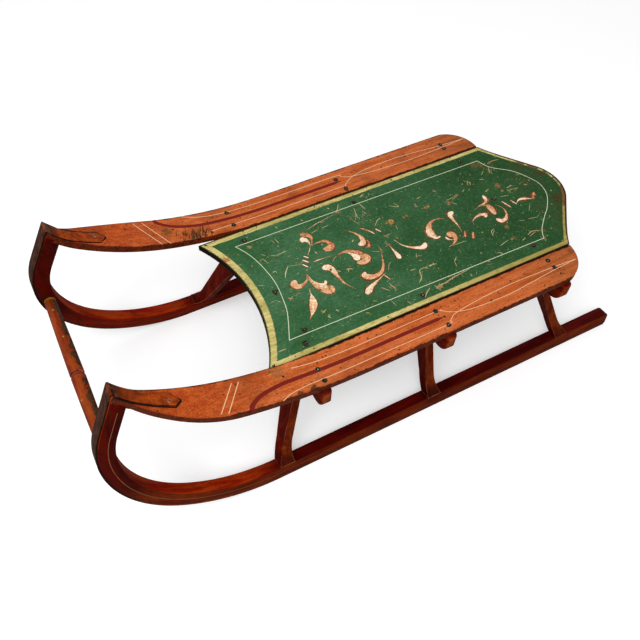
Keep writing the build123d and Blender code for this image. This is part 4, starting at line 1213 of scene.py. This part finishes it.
# Scratches: long ones, each with its width, its tone from cream to brown, and x and y of its points,
# then a thin scatter of nicks over the whole board and crowded patches of them. A patch has x and y
# of its middle, its spread and its number.
SCORES = (
    (1.7, 0.2, 110, -11, 106, -18.5, 101.5, -24, 96.5, -29.5), (0.8, 0.5, 96.5, -29.5, 87.5, -27, 76, -23),
    (1.1, 0.6, 111.5, -60.5, 106, -58, 100, -54.5), (1.2, 0.4, 101.5, -57.5, 83.5, -58),
    (1.2, 0.6, 124, -69.5, 118.5, -64), (1.6, 0.7, 125, -59, 122, -51), (2.6, 0.9, 137.5, -94, 130.5, -90.5),
    (0.9, 0.4, 33, -74.5, 20, -76.5), (1, 0.4, 13, -76.5, -0.5, -78.5), (0.9, 0.5, 9.5, -89, 1.5, -87.5),
    (1.5, 0.6, -24, -96, -31.5, -104.5, -37.5, -112.5), (1, 0.3, -56, -93.5, -53.5, -82, -51, -70),
    (1.7, 0.6, -69.5, -98, -70.5, -89, -72.5, -82.5), (3.6, 0.8, -78, -111, -86, -114),
    (0.8, 0.8, -38.5, -77.5, -42.5, -66, -46.5, -56.5), (0.8, 0.7, -53, -81, -48.5, -72.5, -42, -66),
    (1.1, 0.6, -65, -81, -69, -72.5), (1.5, 0.4, -72, -47.5, -77, -52, -84.5, -55),
    (1.3, 0.5, -67, -43, -72, -47.5), (1.2, 0.6, -98.5, -29.5, -97, -20.5), (2.6, 0.5, -17.5, -29.5, -21, -32.5),
    (2.2, 0.9, -42, -49, -45, -47.5), (2.6, 0.8, 32.5, 11.5, 28, 16), (2.2, 0.6, 18, 15.5, 9.5, 18.5),
    (1.8, 0.7, 17.5, 20.5, 14, 15.5), (1.4, 0.4, 123, -28.5, 118.5, -29.5, 117.5, -25),
    (1, 0.5, 153, -15, 144.5, -11), (1.8, 0.7, 123.5, 25.5, 117, 30), (1.3, 0.6, 123, 30.5, 115.5, 25.5),
    (1.5, 0.6, 90, 67.5, 86.5, 73.5), (1.3, 0.5, 91, 73.5, 82, 69), (1.9, 0.4, 69.5, 76, 67, 80.5),
    (1.9, 0.4, 86, 81.5, 83, 86), (1.6, 0.7, -12.5, 70.5, -16.5, 76, -20, 80),
    (1.6, 0.5, -70, 88, -78, 81, -83, 68, -90.5, 66), (1.5, 0.6, -90.5, 65.5, -98, 70.5),
    (1.5, 0.3, -101.5, 68, -111, 66), (1.5, 0.5, -70, 61.5, -78.5, 62.5), (1.7, 0.8, -87.5, 102.5, -91, 115.5),
    (1.8, 0.8, -87.5, 107, -98.5, 105.5, -111, 107.5), (1.4, 0.7, -92, 112.5, -96.5, 102),
    (1.9, 0.6, -62.5, 115.5, -70, 109, -78.5, 104), (1.6, 0.5, 177.5, 105, 165, 105), (1.3, 0.7, -92, 44, -97, 36),
    (1, 0.6, -39.5, 46.5, -46.5, 36.5, -52, 33.5), (0.8, 0.9, -50.5, -4.5, -50, 13.5), (0.7, 0.4, -35, 1, -46.5, 7),
    (2.2, 0.8, -73, -16.5, -80.5, -18), (1.6, 0.8, -69.5, -20, -75, -11.5), (1.7, 0.7, -86, -8, -87.5, -2.5),
    (0.8, 0.6, 69.5, -29.5, 78.5, -25), (1.9, 0.8, -27.5, 68, -30.5, 84), (1.5, 0.7, -26.5, 73.5, -32.5, 80.5),
    (1.4, 0.7, 12.5, 86.5, 7, 89.5), (1.4, 0.6, 33, 101, 28, 103), (1, 0.6, -13, 98.5, -15, 109.5),
    (1.2, 0.6, -34.5, 110, -37, 118), (1.1, 0.6, 37.5, 37.5, 33, 35), (1.8, 0.4, 45.5, -37.5, 44, -32),
    (1.4, 0.3, 78.5, -112.5, 77, -107.5), (2, 0.2, -16.5, -112.5, -19, -109.5), (1.6, 0.4, 35, -108, 32.5, -104.5),
    (1.2, 0.5, 90.5, -89, 88.5, -77.5), (0.9, 0.6, 97, -89, 94.5, -81), (1, 0.5, 164, -65, 160, -64),
    (1.6, 0.5, 140, 25, 136.5, 27), (1.1, 0.9, 111.5, 27, 103.5, 23),
    (1, 0.3, -111.5, -72, -125, -63.5, -121.5, -74), (2, 0.7, -163, -65.5, -170, -67.5),
    (2.4, 0.7, -150, -53, -154, -50), (1.4, 0.7, -206.5, -40.5, -217, -41.5, -231, -44.5),
    (0.9, 0.6, -215, -37.5, -231.5, -43), (1, 0.5, -211.5, -32, -217, -24.5), (1.4, 0.6, -258.5, -56, -265, -64),
    (1.3, 0.6, -262.5, -52.5, -267.5, -61), (0.9, 0.5, -261, -64, -266.5, -57),
    (1.8, 0.8, -321, -84, -332, -86.5, -346, -85), (2, 0.8, -311, -62.5, -315, -71, -318, -77.5),
    (1.1, 0.7, -313.5, -59, -317, -68.5), (1.4, 0.3, -315.5, -20, -327.5, -22), (1, 0.5, -313, -14.5, -334.5, -12),
    (2, 0.7, -347.5, -14, -353.5, -11.5), (1.2, 0.6, -352.5, -42, -355, -36.5), (1, 0.3, -227, 82, -245, 78),
    (1.8, 0.6, -282, 83, -293, 79.5, -306.5, 83.5), (1.2, 0.7, -283, 86.5, -297.5, 83),
    (1.8, 0.6, -86.5, 109.5, -107, 105.5, -125, 102.5, -154.5, 99.5), (1.1, 0.5, -118, 106, -122.5, 101),
    (1.3, 0.6, -140, 86.5, -142.5, 77, -150.5, 70), (1.2, 0.3, -229.5, 60, -232.5, 50.5, -240, 47.5),
    (0.9, 0.4, -231.5, 56.5, -238.5, 50), (1.3, 0.5, -267, 89, -275, 85.5), (0.9, 0.4, -158, 48, -184, 49),
    (1.7, 0.6, -100, 66, -114, 68), (1.2, 0.5, -93, 68, -98, 66), (2.2, 0.8, -93, 50, -97.5, 52.5),
    (2, 0.6, -216, 92, -221.5, 97), (1.1, 0.7, -93, 40.5, -102.5, 44), (1, 0.4, -295.5, -66, -304.5, -72.5),
    (1, 0.4, -285, -58, -293, -53.5), (2.2, 0.8, -196.5, -70.5, -201, -66), (1.2, 0.4, -241, -45.5, -247.5, -49),
    (1.1, 0.3, -276, -28.5, -286.5, -32), (1.2, 0.9, -278.5, -8, -286.5, -11.5), (0.8, 0.4, -293, -8, -309, -4.5),
    (0.9, 0.5, -288.5, 50, -297.5, 55), (0.9, 0.5, -304.5, 54.5, -322.5, 58), (0.8, 0.6, -317, 40.5, -329.5, 27),
    (1.2, 0.6, -338.5, 68, -342, 63.5), (1.4, 0.4, -149, 113.5, -151, 109), (1.2, 0.6, -188.5, 97.5, -193, 103),
    (1.7, 0.8, -245.5, 98.5, -250, 101.5), (2, 0.9, -299, 100, -303.5, 104.5),
)
PATCHES = (
    (120, -58, 14, 12), (105, -55, 16, 10), (90, -60, 12, 8), (-30, -95, 12, 14), (-58, -72, 16, 26),
    (-70, -55, 14, 22), (-75, -35, 10, 12), (-45, -80, 10, 10), (15, -78, 14, 8), (12, 18, 10, 8), (112, 24, 10, 8),
    (-30, 75, 14, 14), (-80, 70, 16, 18), (-85, 105, 12, 8), (-60, 5, 8, 8), (-160, -45, 16, 12),
    (-208, -38, 14, 16), (-262, -58, 12, 12), (-305, -75, 12, 14), (-318, -20, 18, 12), (-230, 55, 16, 12),
    (-262, 82, 12, 12), (-295, 84, 12, 12), (-305, 98, 8, 8), (-108, 70, 12, 8), (-130, 98, 14, 14),
    (-218, 97, 10, 8), (-40, 112, 10, 8), (-95, -110, 12, 8), (-350, -25, 14, 10), (-330, 60, 12, 8),
    (60, 90, 14, 6), (150, 40, 12, 4),
)
SCATTER = 520
NICK_WIDTHS = np.array([0.2, 1.0, 0.3])
chance = np.random.default_rng(5)
middles = [np.column_stack([chance.uniform(-360, 170, SCATTER), chance.uniform(-114, 114, SCATTER)])]
middles += [chance.normal((x, y), spread * 0.6, (count, 2)) for x, y, spread, count in PATCHES]
middles = np.vstack(middles)
COUNT = len(middles)
# half of them lean about 26 degrees one way, the others about 52 the other way
length = np.clip(chance.lognormal(0.65, 0.65, COUNT), 0.8, 11.0)
turns = np.where(chance.random(COUNT) < 0.5, chance.normal(0.45, 0.35, COUNT), chance.normal(-0.9, 0.8, COUNT))
ways = np.column_stack([np.cos(turns), np.sin(turns)])
bends = chance.normal(0, 0.08, COUNT)[:, None] * length[:, None] * np.column_stack([-ways[:, 1], ways[:, 0]])
half = 0.5 * length[:, None] * ways
# only those that lie well on the board are kept
forward, out = middles[:, 0], np.abs(middles[:, 1])
inside = (out < 124) & (forward > -372 + 0.55 * out) & (forward < 172)
scratches = [
    line((at - reach, at + bend, at + reach), wide * NICK_WIDTHS, on_deck, 0.07 + 0.0001 * number, tone=tone)
    for number, (at, reach, bend, wide, tone) in enumerate(zip(
        middles[inside], half[inside], bends[inside], chance.uniform(0.3, 0.8, COUNT)[inside],
        chance.uniform(0.0, 1.0, COUNT)[inside],
    ))
]


def score(number, width, tone, *points):
    """One long scratch: (sin a)^0.5 of its width wide, for a from 0.35 to 2.9 over its length."""
    path = smooth(np.reshape(points, (-1, 2)), 2.0)
    swell = np.sin(np.linspace(0.35, 2.9, len(path))) ** 0.5
    return line(path, width * swell, on_deck, 0.085 + 0.0001 * number, tone=tone)


scratches += [score(number, *row) for number, row in enumerate(SCORES)]
scratch_wood = line_paint("scratch_wood", (206, 196, 150), (158, 114, 76), (72, 92, 54), wear=0.35, roughness=0.65)
deck_scratches = join("deck_scratches", scratches, scratch_wood)
for piece in (deck_border, deck_edge, deck_line, deck_scroll, deck_scratches):
    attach(piece, "root")

# ---- Front rung
# A turned ash rung between the bows, varnished orange brown, an olive band at each end and a dark
# groove in the middle, partly paint and partly painted shade, with painted highlights in it. Its
# upper back edge is worn to a black streak where boots and ropes rubbed.
BAND_AT = 146 * MM
BAND_HALF = 4 * MM
GROOVE_HALF = 3.4 * MM
varnish, tree, skin, where = material("rung_varnish", gloss=0.16)
along = add(tree, "Mapping", {"Vector": where["Object"], "Rotation": (0, 0, np.pi / 2)}).outputs[0]
grain = placed(tree, grain_group, {"Vector": along, "Figure": 16.0, "Stretch": 9.0})
body = shaded(tree, grain["Figure"], (0.32, 0.66), (122, 38, 5), (156, 68, 18))
body = shaded(tree, grain["Pores"], (0.5, 0.72, 0.6), body, (88, 30, 6))
x, y, z = axes(tree, where["Object"])
nx, ny, nz = axes(tree, where["Normal"])
out = math(tree, "ABSOLUTE", y)
facing = math(tree, "ADD", math(tree, "MULTIPLY", nx, -0.8), math(tree, "MULTIPLY", nz, 0.6))
rag = noise(tree, where["Object"], 55.0, 7.0, 0.7)
streak = product(
    tree,
    between(tree, math(tree, "ADD", facing, between(tree, rag, 0.3, 0.7, -0.22, 0.22)), 0.84, 0.92),
    between(tree, out, 0.008, 0.014),
)
black = shaded(tree, rag, (0.45, 0.6), (28, 20, 12), (70, 52, 24))
body = blended(tree, product(tree, streak, 0.92), body, black)
body, _ = speckled(tree, where, body, (150.0, 0.05, 0.35), (188, 132, 80), 0.8)
band = between(tree, math(tree, "ABSOLUTE", math(tree, "SUBTRACT", out, BAND_AT)), BAND_HALF, BAND_HALF - 0.0006)
body = blended(tree, band, body, shaded(tree, rag, (0.4, 0.6), (122, 98, 36), (150, 124, 56)))
# the dark groove is partly its own paint and partly painted shade
groove = between(tree, out, GROOVE_HALF, GROOVE_HALF - 0.0008)
body = blended(tree, groove, body, (62, 14, 6))
# a lighter ring in the groove's middle: a painted highlight
ridge_highlight = between(tree, out, 0.0018, 0.0010)
body = blended(tree, product(tree, ridge_highlight, 0.7), body, (150, 60, 26))
# pale pink patches in the groove: painted highlights
body = blended(tree, product(tree, groove, between(tree, rag, 0.55, 0.62)), body, (206, 110, 74))
soil = soiled(tree, where, body, (64, 26, 8), 0.6)
finish(tree, skin, soil, grain["Pores"], 0.36, 0.52, grain["Pores"], 0.0003, 0.25)
dress(varnish, "front_rung")

# ---- Studio
# A pale floor under soft light from above and from the camera's side. The floor is white to the
# camera and darker to bounced light, so that it doesn't light the sled from below.
FLOOR_HALF = 4.0
FLOOR_LIFT = 0.3
floor_mesh = bpy.data.meshes.new("studio_floor")
floor_mesh.from_pydata(FLOOR_HALF * np.array([(-1, -1, 0), (1, -1, 0), (1, 1, 0), (-1, 1, 0)]), [], [(0, 1, 2, 3)])
floor = bpy.data.objects.new("studio_floor", floor_mesh)
bpy.context.scene.collection.objects.link(floor)
floor_white, tree, skin, where = material("floor_white", roughness=0.9, gloss=0.0)
seen = add(tree, "LightPath").outputs["Is Camera Ray"]
tree.links.new(blended(tree, seen, (0.3, 0.29, 0.28, 1), (0.86, 0.86, 0.86, 1)), skin.inputs["Base Color"])
# what the camera sees of the floor is lifted by a plain white, and bounced light isn't
lift = blended(tree, seen, (0, 0, 0, 1), (FLOOR_LIFT, FLOOR_LIFT, FLOOR_LIFT, 1))
tree.links.new(lift, skin.inputs["Emission Color"])
skin.inputs["Emission Strength"].default_value = 1.0
floor_mesh.materials.append(floor_white)

world = bpy.data.worlds.new("studio")
world.use_nodes = True
sky = world.node_tree
seen = add(sky, "LightPath").outputs["Is Camera Ray"]
light = blended(sky, seen, (0.62, 0.62, 0.62, 1), (1, 1, 1, 1))
sky.links.new(light, sky.nodes["Background"].inputs["Color"])
sky.nodes["Background"].inputs["Strength"].default_value = 1.0
bpy.context.scene.world = world

lamp_data = bpy.data.lights.new("key", "AREA")
lamp_data.size = 1.4
lamp_data.energy = 30
lamp = bpy.data.objects.new("key", lamp_data)
lamp.location = (0.9, 0.9, 1.9)
lamp.rotation_mode = "QUATERNION"
lamp.rotation_quaternion = (Vector((0, 0, 0.15)) - lamp.location).to_track_quat("-Z", "Y")
bpy.context.scene.collection.objects.link(lamp)

CAMERA_PLACE = Vector((0.3930, 0.5818, 1.0457))
CAMERA_AIM = Vector((0.0917, 0.0693, 0.2))
CAMERA_ROLL = np.radians(3.33)
camera_data = bpy.data.cameras.new("camera")
camera_data.lens = 38.73
camera_data.sensor_width = 36
camera = bpy.data.objects.new("camera", camera_data)
turn = (CAMERA_AIM - CAMERA_PLACE).to_track_quat("-Z", "Y").to_matrix().to_4x4()
camera.matrix_world = Matrix.Translation(CAMERA_PLACE) @ turn @ Matrix.Rotation(CAMERA_ROLL, 4, "Z")
bpy.context.scene.collection.objects.link(camera)
bpy.context.scene.camera = camera

bpy.context.scene.view_settings.view_transform = "Standard"
